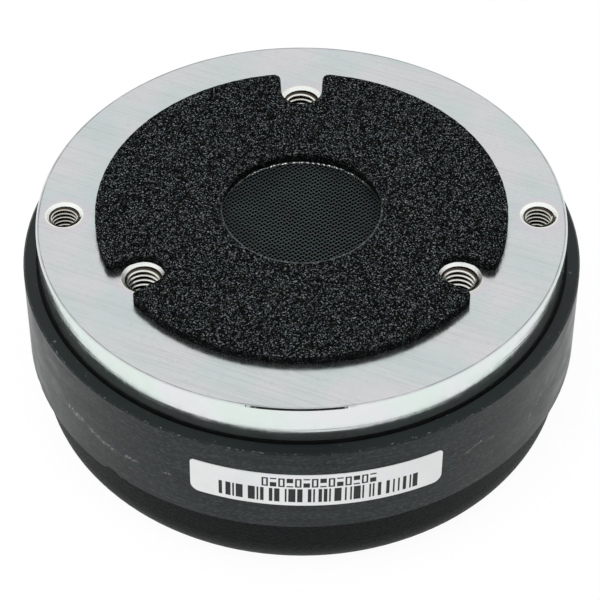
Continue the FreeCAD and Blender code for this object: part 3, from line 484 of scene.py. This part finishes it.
def zinc_thread():
    """Bright crests over dark roots, by distance from the hole's axis."""
    net = Finish("zinc_thread", Metallic=1.0)
    root = net.between(hole_distance(net), mm(2.58), mm(2.74))
    crest = net.mixed(net.between(net.noise(1.0, 3.0), 0.35, 0.65), (0.86, 0.84, 0.74, 1.0),
                      (0.92, 0.93, 0.91, 1.0))
    net.set(net.shader, {
        "Base_Color": net.mixed(root, crest, (0.05, 0.042, 0.03, 1.0)),
        "Roughness": 0.25,
        "Normal": net.bump(net.noise(0.15, 2.0), 0.01, 0.6)})
    return net.material


ZINC_FACE = zinc_face()
ZINC_THREAD = zinc_thread()

# %% [markdown]
# ### Ferrite
#
# A ferrite magnet is a black ceramic, ground at its faces and left as fired at its rim: dark grey,
# matt, a little mottled, with fine marks round the rim. It chips and scratches easily. Its wear
# stays where the photograph has it: pale broken scratches at mid height to the left and right of
# the paper strip. Each scratch is a thin band about a line in the unrolled rim, broken by noise.

# %% Ferrite
def rim_place(net, radius):
    """Place on an unrolled rim: arc length from -Y towards +X, and height, in metres."""
    parts = net.axes()
    turn = net.math("ARCTAN2", parts["X"], net.math("MULTIPLY", parts["Y"], -1.0))
    arc = net.math("MULTIPLY", turn, mm(radius))
    return net.add("CombineXYZ", {"X": arc, "Y": parts["Z"]})


def scratch_band(net, unrolled, angle, height, length, tilt, width):
    """1 on a short line of the unrolled rim, 0 elsewhere; angle from -Y in degrees."""
    centre = (math.radians(angle) * mm(MAGNET_RIM), mm(height), 0.0)
    moved = net.add("VectorMath", {0: unrolled, 1: centre}, operation="SUBTRACT")
    turned = net.add("VectorRotate", {"Vector": moved, "Angle": math.radians(-tilt)},
                     rotation_type="Z_AXIS")
    parts = net.add("SeparateXYZ", {"Vector": turned}).node.outputs
    along = net.between(net.math("ABSOLUTE", parts["X"]), mm(length / 2 - 0.6), mm(length / 2),
                        1.0, 0.0)
    across = net.between(net.math("ABSOLUTE", parts["Y"]), mm(width * 0.25), mm(width / 2),
                         1.0, 0.0)
    return net.math("MULTIPLY", along, across)


SCRATCHES = [
    # angle from -Y, height, length, tilt, width
    (-54.0, 20.9, 2.8, -8.0, 1.1),
    (-51.0, 20.7, 3.4, 4.0, 1.5),
    (-46.0, 20.0, 3.6, -10.0, 1.1),
    (-42.5, 19.5, 4.6, -4.0, 1.0),
    (-36.0, 19.8, 3.2, 6.0, 0.8),
    (-27.5, 20.4, 2.2, 3.0, 0.5),
    (35.0, 22.1, 2.0, 18.0, 0.6),
    (37.2, 22.7, 2.2, 12.0, 0.6),
    (40.4, 22.2, 2.0, -6.0, 0.5),
    (53.0, 19.4, 2.4, 60.0, 0.45),
    (56.0, 21.3, 3.4, 50.0, 0.45),
    (59.0, 22.5, 3.0, 55.0, 0.4),
]


def ferrite_finish():
    """Fired ferrite with pale broken scratches, and darker where it is ground."""
    net = Finish("ferrite", Specular_IOR_Level=0.23, Specular_Tint=COOL)
    parts = net.axes()
    unrolled = rim_place(net, MAGNET_RIM)
    patches = net.between(net.noise(4.0, 6.0, stretch=(1.8, 1.8, 0.7), roughness=0.6), 0.38, 0.62)
    colour = net.mixed(patches, grey(0.007, (0.8, 1.0, 1.0)), grey(0.022, (0.84, 1.0, 1.0)))
    grain = net.noise(0.30, 4.0, stretch=(2.5, 2.5, 1.0), roughness=0.65)
    colour = net.mixed(net.between(grain, 0.48, 0.70), colour, grey(0.062, (0.88, 1.0, 1.0)))
    rings = net.noise(0.5, 3.0, stretch=(24.0, 24.0, 1.0))
    colour = net.mixed(net.between(rings, 0.40, 0.6, 0.0, 0.45), colour, grey(0.003))
    ragged = net.math("ADD", parts["Z"], net.math("MULTIPLY", net.noise(1.3, 4.0), mm(0.5)))
    ground = net.between(ragged, mm(30.42), mm(30.46))
    colour = net.mixed(ground, colour, grey(0.012, (0.8, 1.0, 1.0)))
    chipped = net.math("MULTIPLY", net.between(ragged, mm(30.34), mm(30.40)),
                       net.between(ragged, mm(30.44), mm(30.50), 1.0, 0.0))
    chipped = net.math("MULTIPLY", chipped, net.between(net.noise(0.7, 3.0), 0.58, 0.66, 0.0, 0.8))
    colour = net.mixed(chipped, colour, grey(0.20))
    wear = None
    for angle, height, length, tilt, width in SCRATCHES:
        band = scratch_band(net, unrolled, angle, height, length, tilt, width)
        wear = band if wear is None else net.math("MAXIMUM", wear, band)
    broken = net.between(net.noise(0.32, 5.0, roughness=0.75), 0.50, 0.60)
    wear = net.math("MULTIPLY", wear, broken)
    colour = net.mixed(wear, colour, grey(0.32))
    net.set(net.shader, {
        "Base_Color": colour,
        "Roughness": net.between(patches, 0.0, 1.0, 0.30, 0.42),
        "Normal": net.bump(rings, 0.01, 0.3, net.bump(grain, 0.05, 0.5))})
    return net.material


FERRITE = ferrite_finish()

# %% [markdown]
# ### Moulded black plastic and the other dark finishes
#
# The rear cover is moulded in a spark-eroded tool, which leaves a fine leathery grain: soft pits of
# about a quarter of a millimetre that break up the gloss. `dark_finish` gives all dull dark
# surfaces a base colour with clouds, a grain and its roughness; each finish names its own sizes.

# %% Dark finishes
def dark_finish(name, low, high, cloud, grain, depth, rough, gloss=0.3, tint=(1.0, 1.0, 1.0)):
    """A dull finish: two levels in clouds, a grain of a size and depth in mm, and roughness."""
    net = Finish(name, Specular_IOR_Level=gloss, Specular_Tint=COOL)
    clouds = net.between(net.noise(cloud, 3.0), 0.35, 0.65)
    colour = net.mixed(clouds, grey(low, tint), grey(high, tint))
    pits = net.noise(grain, 3.0, roughness=0.6)
    net.set(net.shader, {
        "Base_Color": colour,
        "Roughness": net.between(pits, 0.3, 0.7, rough - 0.06, rough + 0.06),
        "Normal": net.bump(pits, depth, 0.8)})
    return net.material


COVER_PLASTIC = dark_finish("cover_plastic", 0.002, 0.008, 0.6, 0.38, 0.18, 0.5, 0.09,
                            (0.9, 1.0, 1.05))
THROAT_BLACK = dark_finish("throat_black", 0.0015, 0.003, 3.0, 0.4, 0.01, 0.7, 0.02)
RUBBER = dark_finish("seal_rubber", 0.006, 0.010, 2.0, 0.3, 0.03, 0.6, 0.25)
PLUG_PLASTIC = dark_finish("plug_plastic", 0.02, 0.03, 3.0, 0.4, 0.02, 0.4, 0.5)
RING_PLASTIC = dark_finish("ring_plastic", 0.02, 0.03, 3.0, 0.4, 0.02, 0.45, 0.5)
FELT = dark_finish("felt", 0.05, 0.09, 1.2, 0.12, 0.15, 0.9, 0.1)
FORMER_FILM = dark_finish("former_film", 0.28, 0.36, 2.0, 0.2, 0.01, 0.35, 0.5, (1.0, 0.62, 0.2))
DIAPHRAGM_FILM = dark_finish("film", 0.45, 0.55, 5.0, 0.3, 0.01, 0.3, 0.5, (1.0, 0.95, 0.8))
BLACK_STEEL = dark_finish("black_steel", 0.012, 0.022, 1.0, 0.15, 0.01, 0.35, 0.6)
# Near-black of the glue bead, which also serves as painted contact shade at the plate's foot.
GLUE_AND_SHADE_BLACK = dark_finish("glue_and_shade_black", 0.001, 0.003, 1.5, 0.5, 0.08, 0.5, 0.04)
PRINT_BLACK = dark_finish("print_black", 0.012, 0.02, 1.0, 0.1, 0.004, 0.5, 0.3)

# %% [markdown]
# ### Small metal parts
#
# Terminals are tinned brass, the coil is enamelled copper wire and the screws are plated steel.
# They are metals with a slight unevenness from plating and handling.

# %% Small metals
def metal_finish(name, colour_low, colour_high, rough, cloud=1.5):
    """A metal with clouds in colour and roughness."""
    net = Finish(name, Metallic=1.0)
    clouds = net.between(net.noise(cloud, 4.0), 0.3, 0.7)
    net.set(net.shader, {
        "Base_Color": net.mixed(clouds, colour_low, colour_high),
        "Roughness": net.between(clouds, 0.0, 1.0, rough - 0.05, rough + 0.1),
        "Normal": net.bump(net.noise(0.2, 3.0), 0.006, 0.6)})
    return net.material


TINNED_BRASS = metal_finish("tinned_brass", grey(0.56, (1.0, 0.98, 0.92)), grey(0.70), 0.28)
SCREW_STEEL = metal_finish("screw_steel", grey(0.45), grey(0.58, (1.0, 0.98, 0.94)), 0.3)
COPPER_WIRE = metal_finish("copper_wire", (0.55, 0.20, 0.08, 1.0), (0.72, 0.30, 0.14, 1.0), 0.3)
COPPER_LEAD = metal_finish("copper_lead", (0.60, 0.26, 0.13, 1.0), (0.75, 0.36, 0.2, 1.0), 0.35)
THROAT_EDGE = metal_finish("throat_edge", grey(0.95, (0.97, 1.0, 1.0)), grey(0.98), 0.12)

# %% [markdown]
# ### Finishes onto the solids
#
# A CAD solid whose shape is right stays and only gets a better finish. One table by node gives
# each solid its finish. Pole piece and throat lie under the screen.

# %% Finishes onto the solids
FINISH_OF_NODE = {
    "front_plate": ZINC_FACE,
    "pole_piece": THROAT_BLACK,
    "gap_plate": ZINC_THREAD,
    "ferrite_magnet": FERRITE,
    "phase_plug": PLUG_PLASTIC,
    "diaphragm": DIAPHRAGM_FILM,
    "voice_coil_former": FORMER_FILM,
    "voice_coil": COPPER_WIRE,
    "diaphragm_ring": RING_PLASTIC,
    "diaphragm_screws": SCREW_STEEL,
    "locating_pins": SCREW_STEEL,
    "lead_positive": COPPER_LEAD,
    "lead_negative": COPPER_LEAD,
    "terminal_positive": TINNED_BRASS,
    "terminal_negative": TINNED_BRASS,
    "damping_pad": FELT,
    "cover_gasket": RUBBER,
    "rear_cover": COVER_PLASTIC,
    "cover_screws": BLACK_STEEL,
}
for node_name, material in FINISH_OF_NODE.items():
    for place in nodes[node_name].material_slots:
        place.material = material
print("finished solids:", len(FINISH_OF_NODE))

# %% [markdown]
# ## Foam gasket
#
# The gasket is a 2 mm sheet of open-cell foam, punched to a ring with three U notches that leave
# the M6 holes clear. A punched edge of open foam is never a clean line. The ring starts as a flat
# cylinder, and hole and notches are cut with tools of their own: a notch tool is a cylinder whose
# outer half is pulled past the rim and spread a little. The corners at the notch mouths are
# bevelled round. The foam is pressed a little thinner at the front, so its top is tilted, and the
# hole widens downwards, as a punch leaves it. Then a remesh gives even small faces, and two
# displacements raise lumps and cells, which also makes the rim ragged.

# %% Foam: ring, hole and notches
FOAM_LOW, FOAM_HIGH = (corner.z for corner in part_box("foam_gasket"))
FOAM_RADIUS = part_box("foam_gasket")[1].x
NOTCH_RADIUS = mm(3.4)
FOAM_TILT = 0.39

start_clean()
bpy.ops.mesh.primitive_cylinder_add(
    vertices=72, radius=FOAM_RADIUS, depth=FOAM_HIGH - FOAM_LOW,
    location=(0.0, 0.0, (FOAM_LOW + FOAM_HIGH) / 2))
foam = named("foam_ring")
settle(foam)
pick(foam, "VERT", lambda place: place.z > FOAM_HIGH - HAIR)
bpy.ops.transform.rotate(value=-math.radians(FOAM_TILT), orient_axis="X",
                         center_override=(0.0, FOAM_RADIUS, FOAM_HIGH))
start_clean()
bpy.ops.mesh.primitive_cone_add(vertices=160, radius1=mm(13.1), radius2=mm(12.65), depth=mm(2.4),
                                location=(0.0, 0.0, (FOAM_LOW + FOAM_HIGH) / 2))
hole_tool = named("hole_tool")
settle(hole_tool)
cut(foam, hole_tool)

for count in range(3):
    start_clean()
    bpy.ops.mesh.primitive_cylinder_add(vertices=48, radius=NOTCH_RADIUS, depth=mm(6.0),
                                        location=(0.0, mm(M6_CIRCLE), FOAM_HIGH))
    notch_tool = named("notch_tool")
    settle(notch_tool)
    pick(notch_tool, "VERT", lambda place: place.y > mm(M6_CIRCLE) + HAIR)
    bpy.ops.transform.translate(value=(0.0, mm(8.0), 0.0))
    bpy.ops.transform.resize(value=(1.14, 1.0, 1.0), center_override=(0.0, 0.0, 0.0))
    bpy.ops.object.mode_set(mode="OBJECT")
    spin(notch_tool, 120.0 * count)
    cut(foam, notch_tool)


def mouth_corner(first, second):
    """The upright edges where a notch meets the rim."""
    upright = (first - second).xy.length < HAIR
    radius = first.xy.length
    if not upright or abs(radius - FOAM_RADIUS) > mm(0.05):
        return False
    angle = math.degrees(math.atan2(first.y, first.x))
    from_notch = min(abs((angle - notch + 180.0) % 360.0 - 180.0) for notch in (90.0, 210.0, 330.0))
    return 6.0 < from_notch < 7.0


pick(foam, "EDGE", mouth_corner)
bpy.ops.mesh.bevel(offset=mm(1.3), segments=6)
finish_edit(foam)
print("foam outline:", triangles(foam), "triangles")

# %% [markdown]
# The remesh takes out all long thin triangles of the cuts and keeps the sharp rims. Its size, a
# quarter of a millimetre, is about two cells of the foam. The displacement textures are Blender's
# own, with sizes in metres.

# %% Foam: lumps and cells
remesh = foam.modifiers.new("even faces", "REMESH")
remesh.mode = "SHARP"
remesh.octree_depth = 8
remesh.scale = 0.95
apply(foam, remesh)


def displaced(piece, kind, size, depth, **settings):
    """Push a piece's surface in and out by one of Blender's textures, sizes in mm."""
    texture = bpy.data.textures.new(piece.name + kind.lower(), kind)
    texture.noise_scale = mm(size)
    for key, value in settings.items():
        setattr(texture, key, value)
    push = piece.modifiers.new(kind.lower(), "DISPLACE")
    push.texture = texture
    push.texture_coords = "LOCAL"
    push.strength = mm(depth)
    push.mid_level = 0.5
    apply(piece, push)


displaced(foam, "CLOUDS", 1.2, 0.03)
displaced(foam, "VORONOI", 0.6, 0.05)
finish_edit(foam)
bpy.ops.object.shade_smooth()
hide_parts("foam_gasket")
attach(foam, "motor")
print("foam:", triangles(foam), "triangles")

# %% [markdown]
# Open foam is a net of thin struts round dark cells. Most of it is near black, and the pale points
# where single struts catch the light are painted glints: a Voronoi texture gives about seven cells
# to the millimetre, each with a random value, and a power of that value leaves few painted pale.
# The foam is painted darker towards its bottom, as painted shade on its walls, and the near half of
# the hole's rim gets a pale painted highlight.

# %% Foam finish
CELLS_PER_METRE = 6800.0


def foam_finish():
    """Black open-cell foam: dark pores, painted glints on struts, painted wall shade and rim
    highlight.
    """
    net = Finish("gasket_foam", Specular_IOR_Level=0.01, Specular_Tint=COOL)
    parts = net.axes()
    cells = net.add("TexVoronoi", {"Vector": net.place, "Scale": CELLS_PER_METRE})
    lot = net.add("SeparateColor", {0: cells.node.outputs["Color"]})
    # Painted glints: a power of the random value leaves a few cells pale.
    level = net.math("POWER", lot, 11.0)
    hollows = net.between(net.noise(1.1, 3.0), 0.35, 0.6, 0.9, 1.0)
    # Painted shade: the foam is painted darker towards its bottom, which darkens its walls.
    depth = net.between(parts["Z"], mm(38.6), mm(38.95), 0.30, 1.0)
    level = net.math("MULTIPLY", level, net.math("MULTIPLY", hollows, depth))
    radius = net.hypot(parts["X"], parts["Y"])
    # Painted highlight: a pale band on the near half of the hole's rim.
    painted_rim_highlight = net.math("MULTIPLY", net.between(radius, mm(12.85), mm(13.05), 1.0, 0.0), depth)
    painted_rim_highlight = net.math("MULTIPLY", painted_rim_highlight, net.between(parts["Y"], mm(-4.0), mm(2.0), 1.0, 0.0))
    level = net.math("ADD", level, net.math("MULTIPLY", painted_rim_highlight, net.between(
        net.noise(0.4, 3.0), 0.4, 0.65, 0.1, 0.6)))
    net.set(net.shader, {
        "Base_Color": net.mixed(level, grey(0.0035, (0.85, 1.0, 1.0)),
                                grey(0.34, (0.88, 1.0, 1.0))),
        "Roughness": 0.9,
        "Normal": net.bump(lot, 0.03, 0.4)})
    return net.material


foam.data.materials.clear()
foam.data.materials.append(foam_finish())

# %% [markdown]
# ## Woven screen
#
# A fine black wire cloth covers the throat, woven plain: each wire goes over one and under the
# next. Its wires are 0.59 and 0.65 mm apart and lie at 36 and 126 degrees. It repeats every two
# wires each way, so one cell with four short wires is modelled once: each is a thin six-sided
# cylinder, cut in eight along its length, whose rings are raised and lowered along a sine. Two
# array modifiers lay the cells side by side, and their ends merge. Faces outside the circle are
# deleted and the open ends closed.

# %% Screen: one cell of the weave
PITCH = mm(0.62)
STRETCH = (0.955, 1.048, 1.0)
WIRE = mm(0.066)
WAVE = mm(0.070)
WEAVE_TURN = 36.0
SCREEN_LOW, SCREEN_HIGH = (corner.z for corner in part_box("throat_screen"))
SCREEN_MIDDLE = (SCREEN_LOW + SCREEN_HIGH) / 2
SCREEN_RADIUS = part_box("throat_screen")[1].x


def cell_wire(side, lengthwise):
    """One wire of a cell, along X or Y, on one side of its middle."""
    start_clean()
    bpy.ops.mesh.primitive_cylinder_add(vertices=6, radius=WIRE, depth=2 * PITCH,
                                        rotation=(0.0, math.radians(90.0), 0.0),
                                        location=(0.0, side * PITCH / 2, 0.0))
    wire = named("wire")
    settle(wire)
    pick(wire, "FACE", lambda place, normal: abs(normal.x) > 0.9)
    bpy.ops.mesh.delete(type="ONLY_FACE")
    pick(wire, "EDGE", lambda first, second: abs(first.x - second.x) > PITCH)
    bpy.ops.mesh.subdivide(number_cuts=7)
    for station in range(-3, 4):
        rise = side * lengthwise * WAVE * math.sin(math.pi * station / 4)
        pick(wire, "VERT", lambda place: abs(place.x - station * PITCH / 4) < PITCH / 10)
        bpy.ops.transform.translate(value=(0.0, 0.0, rise))
    bpy.ops.object.mode_set(mode="OBJECT")
    if lengthwise < 0:
        spin(wire, 90.0)
    return wire


cell = join([cell_wire(side, lengthwise) for side in (-1, 1) for lengthwise in (1, -1)], "weave")
print("cell:", triangles(cell), "triangles")

# %% Screen: the cloth
CELLS = 24
ALONG = 2 * PITCH * STRETCH[0]
ACROSS = 2 * PITCH * STRETCH[1]
work_on(cell)
bpy.ops.transform.resize(value=STRETCH, center_override=(0.0, 0.0, 0.0))
settle(cell)
for name, step in (("along", (ALONG, 0.0, 0.0)), ("across", (0.0, ACROSS, 0.0))):
    row = cell.modifiers.new(name, "ARRAY")
    row.use_relative_offset = False
    row.use_constant_offset = True
    row.constant_offset_displace = step
    row.count = CELLS
    row.use_merge_vertices = True
    row.merge_threshold = mm(0.004)
    apply(cell, row)
cell.location = (-(CELLS - 1) * ALONG / 2, -(CELLS - 1) * ACROSS / 2, SCREEN_MIDDLE)
settle(cell)
spin(cell, -WEAVE_TURN)
pick(cell, "FACE", lambda place, normal: place.xy.length > mm(14.1))
bpy.ops.mesh.delete(type="FACE")
bpy.ops.mesh.select_all(action="SELECT")
bpy.ops.mesh.fill_holes(sides=12)
screen = cell
finish_edit(screen)
print("cloth:", triangles(screen), "triangles")

# %% [markdown]
# The cloth is held at its rim by a pressed ring, which the foam covers: a flat ring with bevelled
# edges.

# %% Screen: the pressed ring
ring = flat_ring("screen_ring", 96, SCREEN_RADIUS, mm(1.2), SCREEN_MIDDLE, mm(0.36))
finish_edit(ring)
soften = ring.modifiers.new("soft edges", "BEVEL")
soften.width = mm(0.06)
soften.segments = 2
apply(ring, soften)
screen = join([screen, ring], "woven_screen")
finish_edit(screen, 60.0)
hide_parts("throat_screen")
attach(screen, "motor")
SCREEN_WIRE = dark_finish("screen_wire", 0.044, 0.068, 4.0, 0.2, 0.004, 0.38, 0.42,
                          (0.76, 1.0, 0.97))
screen.data.materials.clear()
screen.data.materials.append(SCREEN_WIRE)
print("screen:", triangles(screen), "triangles")

# %% [markdown]
# Just below the cloth the throat has a bright bevelled edge. Its far side shines through the weave
# as a row of white points. It is a thin ring with a slope towards the axis: the inner edge of its
# top is lowered.

# %% Bright edge of the throat
EDGE_TOP = SCREEN_MIDDLE - mm(0.05)
EDGE_DEPTH = mm(0.5)
EDGE_RADIUS = mm(13.05)
EDGE_WIDTH = mm(0.3)
EDGE_DROP = mm(0.438)
edge_ring = flat_ring("throat_edge", 128, EDGE_RADIUS, EDGE_WIDTH, EDGE_TOP - EDGE_DEPTH / 2,
                      EDGE_DEPTH)
pick(edge_ring, "VERT", lambda place: place.z > EDGE_TOP - HAIR
     and place.xy.length < EDGE_RADIUS - EDGE_WIDTH / 2)
bpy.ops.transform.translate(value=(0.0, 0.0, -EDGE_DROP))
finish_edit(edge_ring, 30.0)
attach(edge_ring, "motor")
edge_ring.data.materials.append(THROAT_EDGE)

# %% [markdown]
# ## Threads
#
# The CAD holes are plain bores of the nominal radius. A tapped hole shows bright crests that
# climb round it, so each hole gets a ridge: a small face with the section of one thread is drawn
# beside the axis, and a Screw modifier winds it down the bore. M6 has a pitch of 1.0 mm and M5 of
# 0.8 mm. The ridge stops just below the mouth, where the countersink is.

# %% Threads
PLATE_LOW, PLATE_HIGH = (corner.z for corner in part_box("front_plate"))
# Radius at the root and at the crest, pitch, and the heights it runs between, in mm
M6_THREAD = {"radius": 3.02, "crest": 2.46, "pitch": 1.0, "low": 31.0, "high": 37.05}
M5_THREAD = {"radius": 2.52, "crest": 2.07, "pitch": 0.8, "low": 30.75, "high": 37.2}


def thread(name, place, radius, crest, pitch, low, high):
    """A helical ridge in a tapped hole; place, radii and heights in mm."""
    turns = int((high - low) / pitch)
    start_clean()
    bpy.ops.mesh.primitive_plane_add(size=1.0)
    ridge = named(name)
    bpy.ops.transform.resize(value=(mm(radius - crest), mm(pitch * 0.86), 1.0))
    settle(ridge)
    spin(ridge, 90.0, "X")
    ridge.location = (mm((radius + crest) / 2), 0.0, mm(low))
    settle(ridge)
    pick(ridge, "VERT", lambda point: point.x < mm((radius + crest) / 2))
    bpy.ops.transform.resize(value=(1.0, 1.0, 0.2), center_override=(0.0, 0.0, mm(low)))
    bpy.ops.object.mode_set(mode="OBJECT")
    wind = ridge.modifiers.new("wind", "SCREW")
    wind.axis = "Z"
    wind.screw_offset = mm(pitch)
    wind.iterations = turns
    wind.steps = 36
    wind.render_steps = 36
    wind.use_merge_vertices = True
    wind.merge_threshold = mm(0.001)
    apply(ridge, wind)
    ridge.location = (mm(place[0]), mm(place[1]), 0.0)
    settle(ridge)
    finish_edit(ridge, 40.0)
    return ridge


ridges = []
for index, angle in enumerate((90.0, 210.0, 330.0)):
    spot = (M6_CIRCLE * math.cos(math.radians(angle)), M6_CIRCLE * math.sin(math.radians(angle)))
    ridges.append(thread(f"thread_m6_{index}", spot, **M6_THREAD))
for index, side in enumerate((-1, 1)):
    ridges.append(thread(f"thread_m5_{index}", (M5_CIRCLE * side, 0.0), **M5_THREAD))
threads = join(ridges, "threads")
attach(threads, "motor")
threads.data.materials.clear()
threads.data.materials.append(ZINC_THREAD)
print("threads:", triangles(threads), "triangles")

# %% [markdown]
# ## Polished edge of the plate
#
# The plate's upper rim is bevelled flat and polished bright, where the solid has a small rounding.
# A narrow flat ring covers it, whose outer upper edge gets a bevel of one flat face.

# %% Polished edge
PLATE_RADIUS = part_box("front_plate")[1].x
PROUD = mm(0.005)
RIM_HEIGHT = mm(0.5)
plate_rim = flat_ring("plate_rim", 240, PLATE_RADIUS + PROUD, mm(0.45),
                      PLATE_HIGH + PROUD - RIM_HEIGHT / 2, RIM_HEIGHT)
pick(plate_rim, "EDGE", lambda first, second: min(first.z, second.z) > PLATE_HIGH
     and min(first.xy.length, second.xy.length) > PLATE_RADIUS - mm(0.05))
bpy.ops.mesh.bevel(offset=mm(0.24), segments=1)
finish_edit(plate_rim, 30.0)
plate_rim.data.materials.append(ZINC_FACE)
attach(plate_rim, "motor")
print("plate rim:", triangles(plate_rim), "triangles")

# %% [markdown]
# ## Bead at the plate's foot
#
# The plate is glued onto the magnet, and the glue shows as a thin black line all round its foot.
# A torus pressed flat follows it, wide enough to stand also as painted contact shade at the foot;
# slow waves in its radius keep it from looking machined.

# %% Bead
start_clean()
# Glue and painted contact shade in one: the black line is made wide enough to darken the foot.
bpy.ops.mesh.primitive_torus_add(major_segments=240, minor_segments=8, major_radius=mm(42.55),
                                 minor_radius=mm(0.48), location=(0.0, 0.0, PLATE_LOW + mm(0.02)))
glue_and_shade_bead = named("glue_bead_and_painted_shade")
bpy.ops.transform.resize(value=(1.0, 1.0, 0.75), center_override=(0.0, 0.0, PLATE_LOW))
settle(glue_and_shade_bead)
displaced(glue_and_shade_bead, "CLOUDS", 7.0, 0.12)
finish_edit(glue_and_shade_bead)
bpy.ops.object.shade_smooth()
glue_and_shade_bead.data.materials.append(GLUE_AND_SHADE_BLACK)
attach(glue_and_shade_bead, "motor")

# %% [markdown]
# ## Paper strip
#
# A white paper strip with rounded corners is stuck on the magnet's side, a little to the right of
# the middle. It is modelled flat, as it was printed: a plane with rounded corners, cut into narrow
# strips so that it can bend, and given its thickness. The print is generic: bars of uneven width
# and a row of plain marks, with no number. A bend modifier rolls sheet and print to the magnet's
# radius.

# %% Strip: sheet
MAGNET_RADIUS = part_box("ferrite_magnet")[1].x
LABEL_LOW, LABEL_HIGH = (corner.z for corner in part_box("label"))
LABEL_HALF = mm(19.95)
LABEL_TURN = 3.15
LABEL_TILT = 0.65
LABEL_LIFT = mm(0.2)
LABEL_STEPS = 64
PAPER = mm(0.14)
LABEL_MIDDLE = (LABEL_LOW + LABEL_HIGH) / 2


def rolled(piece):
    """Tilt a flat piece, bend it round the Z axis, and turn it to its place on the magnet."""
    spin(piece, -LABEL_TILT, "Y", (0.0, 0.0, LABEL_MIDDLE))
    bpy.ops.transform.translate(value=(0.0, 0.0, LABEL_LIFT))
    settle(piece)
    low = min(point.co.x for point in piece.data.vertices)
    high = max(point.co.x for point in piece.data.vertices)
    bend = piece.modifiers.new("roll", "SIMPLE_DEFORM")
    bend.deform_method = "BEND"
    bend.deform_axis = "Z"
    bend.angle = (high - low) / MAGNET_RADIUS
    apply(piece, bend)
    piece.location = (0.0, -MAGNET_RADIUS, 0.0)
    settle(piece)
    spin(piece, -LABEL_TURN)


start_clean()
bpy.ops.mesh.primitive_plane_add(size=1.0, rotation=(math.radians(90.0), 0.0, 0.0),
                                 location=(0.0, 0.0, LABEL_MIDDLE))
sheet = named("paper_strip")
sheet.scale = (2 * LABEL_HALF, LABEL_HIGH - LABEL_LOW, 1.0)
settle(sheet)
for radius, side in ((0.6, 1.0), (1.5, -1.0)):
    pick(sheet, "VERT", lambda place: abs(place.x) > LABEL_HALF - HAIR
         and side * (place.z - LABEL_MIDDLE) > mm(3.0))
    bpy.ops.mesh.bevel(affect="VERTICES", offset=mm(radius), segments=6)
for step in range(1, LABEL_STEPS):
    bpy.ops.mesh.select_all(action="SELECT")
    bpy.ops.mesh.bisect(plane_co=(-LABEL_HALF + step * 2 * LABEL_HALF / LABEL_STEPS, 0.0, 0.0),
                        plane_no=(1.0, 0.0, 0.0))
bpy.ops.object.mode_set(mode="OBJECT")
thicken = sheet.modifiers.new("paper", "SOLIDIFY")
thicken.thickness = PAPER
thicken.offset = 1.0
apply(sheet, thicken)
rolled(sheet)
finish_edit(sheet, 30.0)

# %% [markdown]
# The bars stand in the lower half of the strip and the marks above them, a hair outside the paper.
# Widths and gaps come from a seeded random choice of one to four units. A mark is a box or two
# blocks of uneven height.

# %% Strip: print
random.seed(40)
UNIT = mm(0.27)
BARS_FROM = mm(-15.3)
BARS_TO = mm(15.0)
BARS_LOW = mm(19.4)
BARS_HIGH = mm(22.4)
MARKS_FROM = -8.6
MARK_STEP = 1.275
MARK_WIDTH = mm(0.98)
MARK_LOW = mm(22.8)
MARK_HIGH = mm(24.75)
MARK_MIDDLE = (MARK_LOW + MARK_HIGH) / 2


def printed(low, high, bottom, top):
    """One printed rectangle on the flat strip."""
    start_clean()
    bpy.ops.mesh.primitive_plane_add(
        size=1.0, rotation=(math.radians(90.0), 0.0, 0.0),
        location=((low + high) / 2, -PAPER - mm(0.015), (bottom + top) / 2))
    patch = named("patch")
    patch.scale = (high - low, top - bottom, 1.0)
    settle(patch)
    return patch


patches = []
spot = BARS_FROM
while spot < BARS_TO:
    width = random.choice((1, 1, 2, 2, 3, 4)) * UNIT
    patches.append(printed(spot, spot + width, BARS_LOW, BARS_HIGH))
    spot += width + random.choice((1, 1, 1, 2, 2, 3)) * UNIT
for index in range(14):
    left = mm(MARKS_FROM + MARK_STEP * index)
    right = left + MARK_WIDTH
    if index % 2 == 0:
        patches.append(printed(left, left + UNIT, MARK_LOW, MARK_HIGH))
        patches.append(printed(right - UNIT, right, MARK_LOW, MARK_HIGH))
        patches.append(printed(left + UNIT, right - UNIT, MARK_LOW, MARK_LOW + UNIT))
        patches.append(printed(left + UNIT, right - UNIT, MARK_HIGH - UNIT, MARK_HIGH))
    elif index % 4 == 1:
        patches.append(printed(left, right, MARK_LOW, MARK_MIDDLE))
        patches.append(printed(left, right, MARK_HIGH - UNIT, MARK_HIGH))
    else:
        patches.append(printed(left, right, MARK_MIDDLE, MARK_HIGH))
        patches.append(printed(left, right, MARK_LOW, MARK_LOW + UNIT))
marks = join(patches, "printed_marks")
rolled(marks)


def paper_finish():
    """White coated paper, a little uneven."""
    net = Finish("label_paper", Specular_IOR_Level=0.4)
    clouds = net.between(net.noise(5.0, 4.0), 0.3, 0.7)
    net.set(net.shader, {
        "Base_Color": net.mixed(clouds, grey(0.86, (0.97, 1.0, 1.0)),
                                grey(0.92, (0.98, 1.0, 1.0))),
        "Roughness": net.between(net.noise(0.8, 3.0), 0.3, 0.7, 0.38, 0.5),
        "Normal": net.bump(net.noise(0.3, 3.0), 0.006, 0.5)})
    return net.material


sheet.data.materials.append(paper_finish())
marks.data.materials.clear()
marks.data.materials.append(PRINT_BLACK)
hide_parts("label")
for piece in (sheet, marks):
    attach(piece, "motor")
print("bars and marks:", len(patches))
